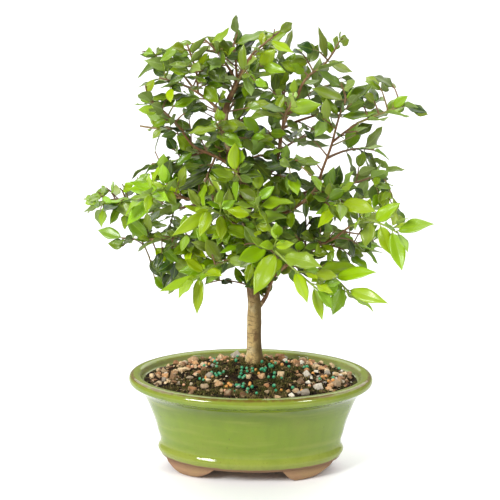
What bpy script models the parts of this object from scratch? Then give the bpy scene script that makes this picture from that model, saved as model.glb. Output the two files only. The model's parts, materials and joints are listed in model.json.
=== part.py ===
"""A jaboticaba bonsai standing in the soil of a glazed oval pot.

The long side of the pot lies along X, the front faces -Y, and +Z is up. The pot's feet stand on Z = 0.
Every size below is in millimetres. The tree's stations are given as seen from the front: across and down
in the 500 units of the front view, with the depth behind the pot's centre in millimetres.
"""

import math
import random

import bmesh
import bpy
from mathutils import Matrix, Vector
from mathutils.bvhtree import BVHTree

MM = 0.001

# Front view that the stations are read in
VIEW_ELEVATION = math.radians(14.5)
VIEW_AZIMUTH = math.radians(3.0)
VIEW_DISTANCE = 1300.0
VIEW_SCALE = 1579.5
VIEW_CENTRE = (250.5, 249.5)
VIEW_AIM = Vector((0.0, 0.0, 190.0))

# Pot
RIM_A = 102.5
RIM_B = 70.0
POT_HEIGHT = 83.0
FOOT_HEIGHT = 8.5
OVAL_SIDES = 36
POT_OUTSIDE = (
    (27.5, 8.5), (26.7, 11.0), (24.9, 14.5), (24.2, 18.5), (24.5, 21.2), (25.6, 22.2),
    (25.2, 26.0), (21.6, 42.0), (15.5, 59.0), (9.5, 69.5), (1.1, 75.6),
)
POT_LIP = ((0.0, 78.0), (0.0, 81.2), (1.5, 82.8), (8.6, 82.8), (10.2, 81.4))
POT_INSIDE = ((11.0, 78.5), (16.5, 72.5), (29.0, 42.0), (33.0, 25.0), (36.0, 18.0))
POT_FLOOR = 16.5
DRAIN_AT = (-32.0, 32.0)
DRAIN_RADIUS = 8.0
SCREEN_RADIUS = 12.0
SCREEN_THICK = 1.2
FOOT_CENTRES = (48.0, 132.0, 228.0, 312.0)
FOOT_HALF_ANGLE = 22.0

# Soil
FIT_GAP = 0.35
SOIL_AT_WALL = 75.0
SOIL_MOUND = 15.5
TRUNK_AT = (2.6, 13.0)
TRUNK_HOLE_RADIUS = 7.6
TRUNK_HOLE_FLOOR = 66.0
STONES = 46

# Leaves
BLADE_THICK = 0.7
SOCKET = 1.1
PAIR_STEP = 16.0
TEST_THICK = 1.5
TWIG_START = 1.0
TWIG_END = 0.78
SEAT_GAP = 0.3

BARK = (0.33, 0.22, 0.11)
TWIG_GREEN = (0.035, 0.11, 0.028)
YOUNG_GREEN = (0.25, 0.47, 0.03)
GLAZE = (0.28, 0.42, 0.08)
EARTH = (0.07, 0.045, 0.03)
MESH_PLASTIC = (0.02, 0.02, 0.02)

# Trunk stations: across, down, depth, radius
TRUNK = (
    (254.0, 333.0, 13.0, 5.4), (254.3, 322.0, 13.0, 5.5), (254.5, 305.0, 13.0, 5.0),
    (252.5, 285.0, 13.0, 4.6), (250.0, 268.0, 12.5, 4.1), (248.0, 250.0, 12.0, 3.7),
    (246.0, 215.0, 10.0, 3.3), (243.0, 187.0, 9.0, 3.0), (236.0, 168.0, 8.0, 2.4),
    (228.0, 145.0, 8.0, 2.1), (225.0, 118.0, 8.0, 1.9), (229.0, 100.0, 6.0, 1.7),
    (237.0, 84.0, 4.0, 1.4),
)

# Branches: parent, radius at the start and the end, share that is wood, stations
BRANCHES = {
    "top_left": ("trunk", 1.3, 0.9, 0.55, ((237, 84, 4), (228, 66, 2), (217, 52, 0), (210, 44, -2), (203, 38, -2))),
    "top_mid": ("trunk", 1.3, 0.9, 0.45, ((237, 84, 4), (236, 62, 4), (233, 46, 5), (237, 34, 6))),
    "top_right": ("trunk", 1.3, 0.9, 0.55, ((237, 84, 4), (246, 66, 0), (253, 53, -4), (268, 44, -8), (280, 37, -10))),
    "top_back": ("trunk", 1.3, 0.9, 0.5, ((229, 100, 6), (234, 84, 22), (242, 68, 38), (252, 54, 50))),
    "top_front": ("trunk", 1.2, 0.9, 0.4, ((233, 92, 5), (240, 78, -14), (247, 68, -34))),
    "right": ("trunk", 2.3, 1.2, 1.0, ((246, 200, 9), (258, 184, 4), (270, 173, 2), (279, 152, 0), (282, 128, -2),
                                       (289, 110, -4), (298, 95, -4))),
    "right_a": ("right", 1.3, 0.9, 0.5, ((282, 128, -2), (300, 120, 6), (320, 114, 12), (345, 100, 15))),
    "right_top": ("right", 1.2, 0.9, 0.4, ((298, 95, -4), (304, 80, 0), (315, 70, 2), (328, 62, 5), (335, 50, 5))),
    "right_b": ("right", 1.2, 0.9, 0.5, ((289, 110, -4), (282, 92, 16), (278, 74, 30), (282, 56, 36))),
    "right_c": ("right", 1.2, 0.9, 0.45, ((286, 118, -3), (300, 100, 24), (318, 88, 44), (334, 84, 58))),
    "outer": ("trunk", 1.6, 0.9, 0.8, ((247, 222, 11), (270, 220, -6), (295, 208, -14), (312, 195, -14), (321, 178, -12),
                                       (325, 158, -10), (333, 143, -8), (338, 119, -6), (346, 98, -4), (342, 86, -2))),
    "outer_right": ("outer", 1.1, 0.8, 0.4, ((333, 143, -8), (345, 132, -7), (359, 122, -6), (380, 114, -6), (402, 106, -6))),
    "outer_back": ("outer", 1.2, 0.9, 0.45, ((325, 158, -10), (340, 152, 20), (358, 148, 44), (374, 150, 58))),
    "low": ("trunk", 2.0, 1.0, 1.0, ((261, 314, 13), (264, 302, 12), (268, 290, 8), (274, 275, 2), (290, 262, -8),
                                      (310, 250, -18), (335, 238, -26))),
    "low_down": ("low", 1.1, 0.8, 0.45, ((290, 262, -8), (304, 266, -28), (318, 269, -42), (333, 276, -54), (349, 292, -62))),
    "low_right": ("low", 1.1, 0.8, 0.3, ((335, 238, -26), (350, 226, -38), (368, 220, -48), (384, 225, -60), (398, 233, -72))),
    "low_back": ("low", 1.1, 0.8, 0.45, ((310, 250, -18), (330, 246, 6), (352, 244, 24), (372, 240, 36))),
    "side": ("trunk", 1.6, 0.9, 0.7, ((246, 218, 10), (268, 212, 12), (300, 192, 16), (338, 187, 18), (365, 180, 16),
                                      (385, 172, 12))),
    "side_front": ("side", 1.0, 0.8, 0.35, ((318, 190, 17), (328, 194, -4), (337, 198, -24), (341, 204, -38))),
    "front": ("trunk", 1.2, 0.9, 0.5, ((248, 245, 12), (250, 232, -10), (254, 218, -34), (258, 205, -58))),
    "front_low": ("trunk", 1.2, 0.8, 0.45, ((249.5, 262, 12), (258, 252, -8), (266, 246, -34), (272, 248, -60), (283, 258, -70),
                                            (295, 270, -76), (306, 279, -80), (317, 289, -82))),
    "front_left": ("trunk", 1.2, 0.9, 0.45, ((247, 235, 12), (235, 224, -12), (222, 214, -36), (208, 208, -58))),
    "down_left": ("trunk", 1.2, 0.8, 0.5, ((249, 256, 12), (238, 258, -6), (225, 262, -26), (210, 268, -44), (194, 279, -56))),
    "left_low": ("trunk", 1.4, 0.9, 0.5, ((248, 240, 12), (230, 238, 2), (205, 238, -8), (180, 238, -12), (158, 239, -14),
                                          (135, 240, -10), (122, 238, -6))),
    "left": ("trunk", 1.5, 0.9, 0.55, ((245, 205, 9), (225, 205, -2), (205, 202, -8), (186, 198, -10), (163, 197, -8),
                                       (140, 200, 0), (118, 199, 8), (95, 203, 14))),
    "left_front": ("left", 1.1, 0.8, 0.4, ((186, 198, -10), (172, 192, -26), (157, 190, -38), (146, 198, -46))),
    "upper_left": ("trunk", 1.6, 0.9, 0.6, ((236, 170, 8), (217, 157, 2), (196, 149, 0), (182, 130, -4), (161, 108, -8),
                                            (141, 95, -10))),
    "upper_low": ("upper_left", 1.1, 0.8, 0.35, ((205, 152, 1), (190, 156, 10), (172, 162, 16), (152, 164, 20))),
    "upper_far": ("upper_left", 1.1, 0.8, 0.4, ((182, 130, -4), (168, 128, 10), (152, 128, 18), (140, 126, 22))),
    "crown_left": ("trunk", 1.5, 0.9, 0.6, ((225, 118, 8), (214, 105, 4), (199, 92, 6), (182, 84, 6), (160, 78, 8))),
    "crown_up": ("crown_left", 1.1, 0.8, 0.4, ((199, 92, 6), (197, 75, 0), (192, 58, -4), (187, 44, -6))),
    "crown_far": ("crown_left", 1.1, 0.8, 0.4, ((196, 91, 6), (183, 74, 12), (167, 62, 16), (150, 56, 18))),
    "back_a": ("trunk", 1.3, 0.9, 0.55, ((246, 215, 10), (236, 205, 40), (222, 195, 68), (205, 190, 90))),
    "back_b": ("trunk", 1.3, 0.9, 0.55, ((247, 225, 11), (262, 215, 42), (278, 207, 70), (292, 203, 92))),
    "back_c": ("trunk", 1.3, 0.9, 0.5, ((236, 170, 8), (226, 160, 36), (212, 150, 60), (200, 145, 78))),
    "back_d": ("right", 1.3, 0.9, 0.5, ((279, 152, 0), (288, 145, 28), (300, 138, 52), (312, 134, 72))),
    "back_e": ("trunk", 1.2, 0.9, 0.5, ((225, 118, 8), (232, 105, 34), (240, 92, 54), (246, 85, 66))),
    "back_f": ("trunk", 1.3, 0.9, 0.5, ((248, 250, 12), (246, 240, 44), (244, 232, 72), (240, 228, 92))),
    "back_g": ("left", 1.2, 0.9, 0.45, ((205, 202, -8), (186, 207, 26), (168, 210, 50), (150, 212, 66))),
    "back_h": ("side", 1.2, 0.9, 0.45, ((300, 192, 16), (322, 198, 40), (345, 204, 60), (362, 208, 72))),
    "fore_a": ("right", 1.2, 0.9, 0.4, ((282, 128, -2), (283, 120, -22), (286, 112, -42), (291, 106, -58))),
    "fore_b": ("trunk", 1.2, 0.9, 0.4, ((228, 145, 8), (225, 138, -18), (221, 130, -38), (216, 124, -54))),
    "fore_c": ("trunk", 1.2, 0.9, 0.4, ((243, 187, 8), (240, 180, -22), (237, 174, -46), (234, 170, -64))),
    "fore_d": ("right", 1.2, 0.9, 0.4, ((270, 173, 2), (278, 168, -20), (288, 163, -42), (298, 160, -58))),
}

# Side sprays on the wood: branch, share along its wood, heading across, down and in depth, length
SIDE_SPRAYS = (
    ("trunk", 0.53, (-1.0, 0.3, -0.9), 30), ("trunk", 0.58, (1.0, 0.2, -1.0), 32), ("trunk", 0.51, (0.6, 0.2, 1.0), 30),
    ("trunk", 0.74, (1.0, -0.3, -0.8), 28), ("trunk", 0.86, (1.0, -0.5, 0.3), 26), ("right", 0.28, (1.0, 0.3, 0.6), 30),
    ("upper_left", 0.35, (-0.3, 0.9, -0.8), 28), ("left", 0.4, (-0.3, -1.0, 0.6), 28), ("low", 0.72, (0.5, -0.8, 0.2), 28),
    ("left_low", 0.5, (-0.5, -0.4, 1.0), 30), ("outer", 0.55, (0.6, 0.2, -0.9), 28), ("right", 0.62, (-1.0, -0.4, -0.2), 24),
)

# Large young leaves: spray, start and tip in the front view, tip's depth, width in millimetres
LARGE_LEAVES = (
    ("front_low", (271, 250), (254, 295), -82, 16.0), ("front_low", (275, 251), (313, 270), -92, 14.5),
    ("front_low", (295, 271), (318, 301), -94, 10.5), ("front_low", (316, 288), (323, 320), -84, 8.0),
    ("front_low", (270, 247), (250, 236), -74, 8.5),
    ("low_down", (331, 272), (375, 272), -74, 12.5), ("low_down", (349, 292), (382, 319), -78, 11.0),
    ("low_down", (343, 287), (333, 315), -70, 12.0), ("low_down", (339, 282), (322, 298), -66, 12.5),
    ("low_down", (328, 273), (312, 283), -58, 9.0),
    ("low_right", (398, 233), (434, 225), -88, 12.5), ("low_right", (396, 233), (403, 270), -78, 12.5),
    ("low_right", (381, 224), (403, 210), -62, 12.0), ("low_right", (386, 227), (391, 255), -66, 11.0),
    ("low_right", (372, 221), (366, 247), -62, 12.5),
    ("side_front", (340, 200), (375, 212), -54, 14.0), ("side_front", (340, 203), (318, 228), -52, 10.5),
    ("side_front", (337, 198), (328, 180), -40, 10.5),
    ("front", (258, 205), (292, 201), -72, 12.0), ("front", (257, 206), (270, 231), -74, 9.0),
    ("front", (256, 208), (234, 204), -70, 10.0),
    ("down_left", (195, 278), (160, 293), -62, 8.5), ("down_left", (196, 278), (197, 314), -60, 9.5),
    ("down_left", (205, 272), (221, 275), -62, 11.5), ("down_left", (200, 274), (185, 260), -56, 10.0),
    ("left_front", (147, 197), (126, 224), -50, 11.5), ("left_front", (156, 191), (131, 182), -44, 9.5),
    ("left_front", (160, 190), (176, 206), -44, 9.5),
    ("front_left", (209, 208), (172, 235), -66, 10.5), ("front_left", (212, 209), (200, 236), -70, 10.0),
    ("front_left", (214, 210), (184, 206), -60, 10.0), ("front_left", (220, 213), (222, 240), -52, 10.0),
)
YOUNG = ("front_low", "low_down", "low_right", "side_front", "front", "down_left", "left_front", "front_left")

# Seeds of the sprays that don't take theirs from their place in the list
SEEDS = {"top_mid": 201, "outer_right": 201, "low_back": 201, "back_h": 201, "inner_4": 204, "inner_6": 201}


# Crown's outline in the front view: down, left edge and right edge, and then across and the lower edge
CROWN_SIDES = (
    (13, 236, 246), (20, 230, 303), (30, 190, 330), (42, 176, 353), (55, 138, 354), (70, 137, 352), (82, 136, 400),
    (100, 128, 412), (115, 132, 430), (130, 142, 400), (150, 143, 384), (170, 134, 406), (185, 110, 408),
    (200, 80, 404), (215, 82, 418), (228, 92, 435), (248, 107, 410), (270, 154, 404), (290, 160, 384), (320, 190, 383),
)
CROWN_UNDER = (
    (78, 230), (106, 248), (152, 272), (160, 294), (186, 300), (193, 316), (201, 314), (208, 286), (240, 284),
    (255, 297), (276, 286), (300, 300), (322, 321), (336, 316), (352, 300), (383, 320), (388, 274), (405, 271), (436, 236),
)
CROWN_DEPTH = 100.0


def viewed(across, down, depth):
    """The point at this depth that the front view shows here, in millimetres."""
    azimuth, tilt = VIEW_AZIMUTH, VIEW_ELEVATION
    back = Vector((math.sin(azimuth) * math.cos(tilt), -math.cos(azimuth) * math.cos(tilt), math.sin(tilt)))
    right = Vector((math.cos(azimuth), math.sin(azimuth), 0.0))
    up = back.cross(right)
    eye = VIEW_AIM + back * VIEW_DISTANCE
    ray = right * ((across - VIEW_CENTRE[0]) / VIEW_SCALE) - up * ((down - VIEW_CENTRE[1]) / VIEW_SCALE) - back
    return eye + ray * ((depth - eye.y) / ray.y)


def front_view(point):
    """Where the front view shows this point: across and down."""
    azimuth, tilt = VIEW_AZIMUTH, VIEW_ELEVATION
    back = Vector((math.sin(azimuth) * math.cos(tilt), -math.cos(azimuth) * math.cos(tilt), math.sin(tilt)))
    right = Vector((math.cos(azimuth), math.sin(azimuth), 0.0))
    up = back.cross(right)
    away = point - VIEW_AIM
    reach = VIEW_SCALE / (VIEW_DISTANCE - away.dot(back))
    return VIEW_CENTRE[0] + reach * away.dot(right), VIEW_CENTRE[1] - reach * away.dot(up)


def clear_scene():
    for obj in list(bpy.data.objects):
        bpy.data.objects.remove(obj, do_unlink=True)


def material(name, colour, roughness):
    made = bpy.data.materials.new(name)
    made.use_nodes = True
    shader = made.node_tree.nodes["Principled BSDF"]
    shader.inputs["Base Color"].default_value = (*colour, 1.0)
    shader.inputs["Roughness"].default_value = roughness
    return made


def mesh_object(name, points, faces, made_of=None, hidden=False):
    mesh = bpy.data.meshes.new(name)
    mesh.from_pydata([tuple(Vector(p) * MM) for p in points], [], faces)
    mesh.validate()
    if made_of:
        mesh.materials.append(made_of)
    obj = bpy.data.objects.new(name, mesh)
    bpy.context.scene.collection.objects.link(obj)
    if hidden:
        obj.hide_render = True
        obj.display_type = "WIRE"
    return obj


def boolean(obj, operation, others, solver="EXACT"):
    """Joins or cuts with every object of others at once, applies it and removes them."""
    held = bpy.data.collections.new(obj.name + "_repeats")
    for other in others:
        held.objects.link(other)
    modifier = obj.modifiers.new(operation.lower(), "BOOLEAN")
    modifier.operation = operation
    modifier.operand_type = "COLLECTION"
    modifier.collection = held
    modifier.solver = solver
    graph = bpy.context.evaluated_depsgraph_get()
    graph.update()
    result = bpy.data.meshes.new_from_object(obj.evaluated_get(graph))
    obj.modifiers.remove(modifier)
    old = obj.data
    obj.data = result
    bpy.data.meshes.remove(old)
    result.name = obj.name
    for other in others:
        bpy.data.objects.remove(other, do_unlink=True)
    bpy.data.collections.remove(held)


def oval(inset, height, sides=OVAL_SIDES, turn=0.0):
    """The rim's oval drawn in by an equal inset all round."""
    ring = []
    for i in range(sides):
        angle = turn + 2 * math.pi * i / sides
        c, s = math.cos(angle), math.sin(angle)
        outward = Vector((c / RIM_A, s / RIM_B)).normalized()
        ring.append(Vector((RIM_A * c - inset * outward.x, RIM_B * s - inset * outward.y, height)))
    return ring


def loft(rings):
    """Points and faces of a closed body through rings of equal count, with flat ends."""
    count = len(rings[0])
    points = [p for ring in rings for p in ring]
    faces = []
    for level in range(len(rings) - 1):
        for i in range(count):
            j = (i + 1) % count
            low, high = level * count, (level + 1) * count
            faces.append((low + i, low + j, high + j, high + i))
    faces.append(tuple(range(count - 1, -1, -1)))
    last = (len(rings) - 1) * count
    faces.append(tuple(range(last, last + count)))
    return points, faces


def cylinder(centre, radius, low, high, sides=16):
    rings = []
    for z in (low, high):
        rings.append([
            Vector((centre[0] + radius * math.cos(2 * math.pi * i / sides),
                    centre[1] + radius * math.sin(2 * math.pi * i / sides), z))
            for i in range(sides)
        ])
    return loft(rings)


def foot(centre):
    """A bracket foot that follows the oval: flat on the ground, swept up at both ends."""
    shares = (-1.0, -0.86, -0.66, -0.42, -0.2, 0.2, 0.42, 0.66, 0.86, 1.0)
    lifts = (9.4, 6.0, 3.0, 1.0, 0.0, 0.0, 1.0, 3.6, 6.8, 9.4)
    if 90 < centre < 180 or centre > 270:
        lifts = lifts[::-1]
    rings = []
    for share, lift in zip(shares, lifts):
        angle = math.radians(centre + share * FOOT_HALF_ANGLE)
        c, s = math.cos(angle), math.sin(angle)
        outward = Vector((c / RIM_A, s / RIM_B)).normalized()
        ring = []
        drop = max(0.0, FOOT_HEIGHT - lift)
        for inset, z in ((27.9, 12.5), (42.5, 12.5), (41.5 - 0.2 * drop, lift), (27.9 + 0.3 * drop, lift)):
            ring.append(Vector((RIM_A * c - inset * outward.x, RIM_B * s - inset * outward.y, z)))
        rings.append(ring)
    return loft(rings)


def build_pot():
    rings = [oval(inset, z) for inset, z in POT_OUTSIDE + POT_LIP + POT_INSIDE]
    rings.append(oval(40.0, POT_FLOOR))
    pot = mesh_object("pot", *loft(rings), made_of=material("glazed stoneware", GLAZE, 0.2))
    feet = [mesh_object("foot", *loft_outward(foot(centre)), hidden=True) for centre in FOOT_CENTRES]
    boolean(pot, "UNION", feet)
    drains = [mesh_object("drain", *cylinder((x, 0.0), DRAIN_RADIUS, 2.0, 22.0), hidden=True) for x in DRAIN_AT]
    boolean(pot, "DIFFERENCE", drains)
    return pot


def loft_outward(shape):
    """The same shape with every face turned to point out."""
    points, faces = shape
    mesh = bmesh.new()
    made = [mesh.verts.new(p) for p in points]
    for face in faces:
        mesh.faces.new([made[i] for i in face])
    bmesh.ops.recalc_face_normals(mesh, faces=mesh.faces)
    if mesh.calc_volume(signed=True) < 0:
        bmesh.ops.reverse_faces(mesh, faces=mesh.faces)
    mesh.verts.index_update()
    turned = [tuple(v.index for v in face.verts) for face in mesh.faces]
    mesh.free()
    return points, turned


def wall_inset(z):
    """How far the pot's inner wall lies in from the rim at this height."""
    levels = POT_INSIDE
    for (d0, z0), (d1, z1) in zip(levels, levels[1:]):
        if z1 <= z <= z0:
            return d0 + (d1 - d0) * (z0 - z) / (z0 - z1)
    return levels[0][0] if z > levels[0][1] else levels[-1][0]


def soil_height(x, y):
    """Smooth height of the soil's top: a mound round the trunk that falls to the wall."""
    dx = (x - TRUNK_AT[0]) / (RIM_A - 16.0)
    dy = (y - TRUNK_AT[1]) / (RIM_B - 16.0)
    away = min(1.0, math.hypot(dx, dy))
    return SOIL_AT_WALL + SOIL_MOUND * (1 - away) ** 1.25


def stone(rng, centre, size):
    """An angular stone: a block with its corners moved, flattened and turned at random."""
    mesh = bmesh.new()
    bmesh.ops.create_cube(mesh, size=0.72 * size)
    flat = Vector((1.0, rng.uniform(0.7, 0.95), rng.uniform(0.6, 0.85)))
    turn = (Matrix.Rotation(rng.uniform(0, 6.28), 3, "Z") @ Matrix.Rotation(rng.uniform(-0.7, 0.7), 3, "X")
            @ Matrix.Rotation(rng.uniform(-0.6, 0.6), 3, "Y"))
    points = []
    for v in mesh.verts:
        p = v.co * rng.uniform(0.74, 1.1)
        points.append(centre + turn @ Vector((p.x * flat.x, p.y * flat.y, p.z * flat.z)))
    bmesh.ops.triangulate(mesh, faces=mesh.faces)
    mesh.verts.index_update()
    faces = [tuple(v.index for v in f.verts) for f in mesh.faces]
    mesh.free()
    return points, faces


def stone_places():
    """Where the stones lie: crowded at both ends and along the back, few in the middle."""
    rng = random.Random(41)
    placed = []
    tries = 0
    while len(placed) < STONES and tries < 9000:
        tries += 1
        x = rng.uniform(-84, 84)
        y = rng.uniform(-52, 52)
        size = rng.uniform(5.4, 9.8)
        share = math.hypot(x / (RIM_A - 17.5 - 0.5 * size), y / (RIM_B - 17.5 - 0.5 * size))
        if share > 0.97:
            continue
        crowd = 0.12 + 0.95 * max(0.0, abs(x + 4) / 80 - 0.25) + 0.75 * max(0.0, y / 50 - 0.3)
        if rng.random() > crowd:
            continue
        if math.hypot(x - TRUNK_AT[0], y - TRUNK_AT[1]) < TRUNK_HOLE_RADIUS + 0.62 * size:
            continue
        if any(math.hypot(x - a, y - b) < 0.47 * (size + other) for a, b, other in placed):
            continue
        placed.append((x, y, size))
    return placed


def build_soil():
    rng = random.Random(7)
    rings = [oval(40.5, POT_FLOOR + FIT_GAP + SCREEN_THICK + 0.6)]
    for inset, z in POT_INSIDE[::-1]:
        if POT_FLOOR + 4 < z < SOIL_AT_WALL - 1:
            rings.append(oval(inset + FIT_GAP, z))
    edge = oval(wall_inset(SOIL_AT_WALL) + FIT_GAP, SOIL_AT_WALL)
    rings.append(edge)
    for share in (0.86, 0.68, 0.48, 0.28):
        ring = []
        for p in edge:
            x = TRUNK_AT[0] + (p.x - TRUNK_AT[0]) * share
            y = TRUNK_AT[1] + (p.y - TRUNK_AT[1]) * share
            ring.append(Vector((x, y, soil_height(x, y) + rng.uniform(-0.9, 0.9))))
        rings.append(ring)
    soil = mesh_object("soil", *loft(rings), made_of=material("potting soil with gravel", EARTH, 0.9))
    stones = []
    for x, y, size in stone_places():
        centre = Vector((x, y, soil_height(x, y) + 0.08 * size))
        stones.append(mesh_object("stone", *stone(rng, centre, size), hidden=True))
    boolean(soil, "UNION", stones)
    hole = mesh_object("hole", *cylinder(TRUNK_AT, TRUNK_HOLE_RADIUS, TRUNK_HOLE_FLOOR, 110.0, 14), hidden=True)
    boolean(soil, "DIFFERENCE", [hole])
    return soil


def build_screens():
    made_of = material("woven drain screen", MESH_PLASTIC, 0.6)
    for name, x in zip(("drain_screen_left", "drain_screen_right"), DRAIN_AT):
        low = POT_FLOOR + 0.3
        mesh_object(name, *cylinder((x, 0.0), SCREEN_RADIUS, low, low + SCREEN_THICK, 12), made_of=made_of)


def frames(path):
    """A direction, a level crosswise vector and one square to both at each station of a path, without twist."""
    made = []
    side = None
    for i, p in enumerate(path):
        ahead = path[min(i + 1, len(path) - 1)] - path[max(i - 1, 0)]
        ahead.normalize()
        if side is None:
            side = ahead.cross(Vector((0.0, 0.05, 1.0)) if abs(ahead.z) < 0.95 else Vector((0.0, 1.0, 0.0))).normalized()
        side = (side - ahead * side.dot(ahead)).normalized()
        made.append((ahead, side, ahead.cross(side)))
    return made


def tube(path, radii, sides):
    rings = []
    for p, radius, (_, side, other) in zip(path, radii, frames(path)):
        ring = []
        for i in range(sides):
            angle = 2 * math.pi * (i + 0.5) / sides
            ring.append(p + side * (radius * math.cos(angle)) + other * (radius * math.sin(angle)))
        rings.append(ring)
    return loft(rings)


def along(path, share):
    """The point at this share of the path's length, and the direction there."""
    lengths = [(b - a).length for a, b in zip(path, path[1:])]
    left = share * sum(lengths)
    for a, b, length in zip(path, path[1:], lengths):
        if left <= length:
            return a.lerp(b, left / length), (b - a).normalized()
        left -= length
    return path[-1].copy(), (path[-1] - path[-2]).normalized()


def path_length(path):
    return sum((b - a).length for a, b in zip(path, path[1:]))


def frame_at(path, share):
    """The crosswise vectors of the nearest station at this share of the path."""
    stations = frames(path)
    return stations[min(len(path) - 1, int(share * (len(path) - 1) + 0.5))]


def nearest_share(path, point):
    total = path_length(path)
    best = (1e9, 0.0)
    for i in range(201):
        spot, _ = along(path, i / 200)
        best = min(best, ((spot - point).length, i / 200))
    return best[1] if total else 0.0


def nearest_station(path, point):
    return min(range(len(path)), key=lambda i: (path[i] - point).length)


def cut_path(path, start, end, stations):
    return [along(path, start + (end - start) * i / (stations - 1))[0] for i in range(stations)]


def trunk_path():
    path = [viewed(u, v, y) for u, v, y, _ in TRUNK]
    radii = [r for *_, r in TRUNK]
    x, y = TRUNK_AT
    low = [Vector((x, y, TRUNK_HOLE_FLOOR + 0.4)), Vector((x, y, 80.0)), Vector((x, y, 92.0)), Vector((x, y, 98.0))]
    return low + path, [6.0, 7.0, 7.1, 5.9] + radii


# Outline of a blade: share of its length, and side as a share of its half width
BLADE = ((0.30, -0.80), (0.62, -0.88), (1.0, 0.0), (0.62, 0.88), (0.30, 0.80))
BLADE_MIDDLE = 0.46


def blade_rows(start, tip, width, across, thick, fold, arch, wave):
    """The upper and lower points of a folded, arched blade: its outline and then its middle."""
    ahead = tip - start
    length = ahead.length
    ahead.normalize()
    up = across.cross(ahead)
    half = 0.5 * width
    rows = []
    for level in (0.5 * thick, -0.5 * thick):
        row = []
        for share, side in BLADE + ((BLADE_MIDDLE, 0.0),):
            rise = arch * length * 4 * share * (1 - share) + fold * half * abs(side) + wave * half * side
            row.append(start + ahead * (share * length) + across * (half * side) + up * (rise + level))
        rows.append(row)
    return rows


def blade_faces(upper, lower, root_upper, root_lower):
    """Faces of a blade on its root of two points above and two below. Both sides are split alike."""
    faces = []
    ring_up = [root_upper[0]] + upper[:-1] + [root_upper[1]]
    ring_low = [root_lower[0]] + lower[:-1] + [root_lower[1]]
    for i, j in zip(range(len(ring_up)), list(range(1, len(ring_up))) + [0]):
        faces.append((ring_up[i], ring_up[j], upper[-1]))
        faces.append((ring_low[j], ring_low[i], lower[-1]))
        if j:
            faces.append((ring_up[i], ring_low[i], ring_low[j]))
            faces.append((ring_up[i], ring_low[j], ring_up[j]))
    return faces


def probe_blade(leaf, root, thick):
    """A plain closed blade to test for room, from this share of its length on."""
    start, tip, width, across, fold, arch, wave = leaf
    rows = blade_rows(start, tip, width, across, thick, fold, arch, wave)
    ahead = tip - start
    up = across.cross(ahead).normalized()
    near = start + ahead * root
    near = near + up * (arch * ahead.length * 4 * root * (1 - root))
    points = rows[0] + rows[1]
    count = len(rows[0])
    for way in (-1, 1):
        for level in (0.5, -0.5):
            points.append(near + across * (way * 0.5) + up * (level * thick))
    upper = list(range(count))
    lower = list(range(count, 2 * count))
    n = 2 * count
    faces = blade_faces(upper, lower, (n, n + 2), (n + 1, n + 3))
    faces.append((n, n + 2, n + 3, n + 1))
    return points, faces


class Space:
    """What already stands in the crown, so that nothing new crosses it."""

    def __init__(self):
        self.held = []

    def add(self, owner, shape):
        points, faces = shape
        low = Vector([min(p[i] for p in points) for i in range(3)])
        high = Vector([max(p[i] for p in points) for i in range(3)])
        self.held.append((owner, low, high, BVHTree.FromPolygons(points, faces)))

    def free(self, shape, but=()):
        points, faces = shape
        low = [min(p[i] for p in points) for i in range(3)]
        high = [max(p[i] for p in points) for i in range(3)]
        tree = None
        for owner, a, b, other in self.held:
            if owner in but:
                continue
            if any(low[i] > b[i] or high[i] < a[i] for i in range(3)):
                continue
            tree = tree or BVHTree.FromPolygons(points, faces)
            if tree.overlap(other):
                return False
        return True


def grow_twig(space, name, path, rng):
    """The twig of a spray, moved a little where it would cross other wood."""
    for attempt in range(40):
        tried = [p.copy() for p in path]
        for i in range(1, len(tried)):
            reach = 0.35 * attempt * i / len(tried)
            tried[i] += Vector([rng.uniform(-reach, reach) for _ in range(3)])
        count = len(tried)
        radii = [TWIG_START + (TWIG_END - TWIG_START) * i / (count - 1) for i in range(count)]
        if space.free(tube(tried, [r + 0.35 for r in radii], 4)):
            return tried, radii
    return None, None


def in_crown(point):
    """Whether a leaf's tip here stays within the crown's outline and depth."""
    across, down = front_view(point)
    left = between(CROWN_SIDES, down, 1)
    right = between(CROWN_SIDES, down, 2)
    if not left <= across <= right or down < CROWN_SIDES[0][0] or down > between(CROWN_UNDER, across, 1):
        return False
    deep = CROWN_DEPTH * min(1.0, 0.45 + 0.55 * (right - left) / 300)
    return abs(point.y) < deep


def between(table, at, column):
    """A value read from a table between its rows."""
    if at <= table[0][0]:
        return table[0][column]
    for a, b in zip(table, table[1:]):
        if at <= b[0]:
            return a[column] + (b[column] - a[column]) * (at - a[0]) / (b[0] - a[0])
    return table[-1][column]


def twig_half(share):
    """Half the width of a twig's square section at this share of its length."""
    return (TWIG_START + (TWIG_END - TWIG_START) * share) * math.sqrt(0.5)


def crown_facing(point, rng):
    """Leaves turn their faces up and out of the crown."""
    out = Vector((point.x - TRUNK_AT[0], point.y - TRUNK_AT[1], 0.0))
    out = out.normalized() if out.length > 1.0 else Vector((0.0, -1.0, 0.0))
    return out * 0.75 + Vector((rng.uniform(-0.45, 0.45), rng.uniform(-0.45, 0.45), rng.uniform(0.35, 0.95)))


def twig_sides(frame):
    """The four flat sides of a twig: top, left, bottom and right."""
    _, side, other = frame
    return (other, -side, -other, side)


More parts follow.
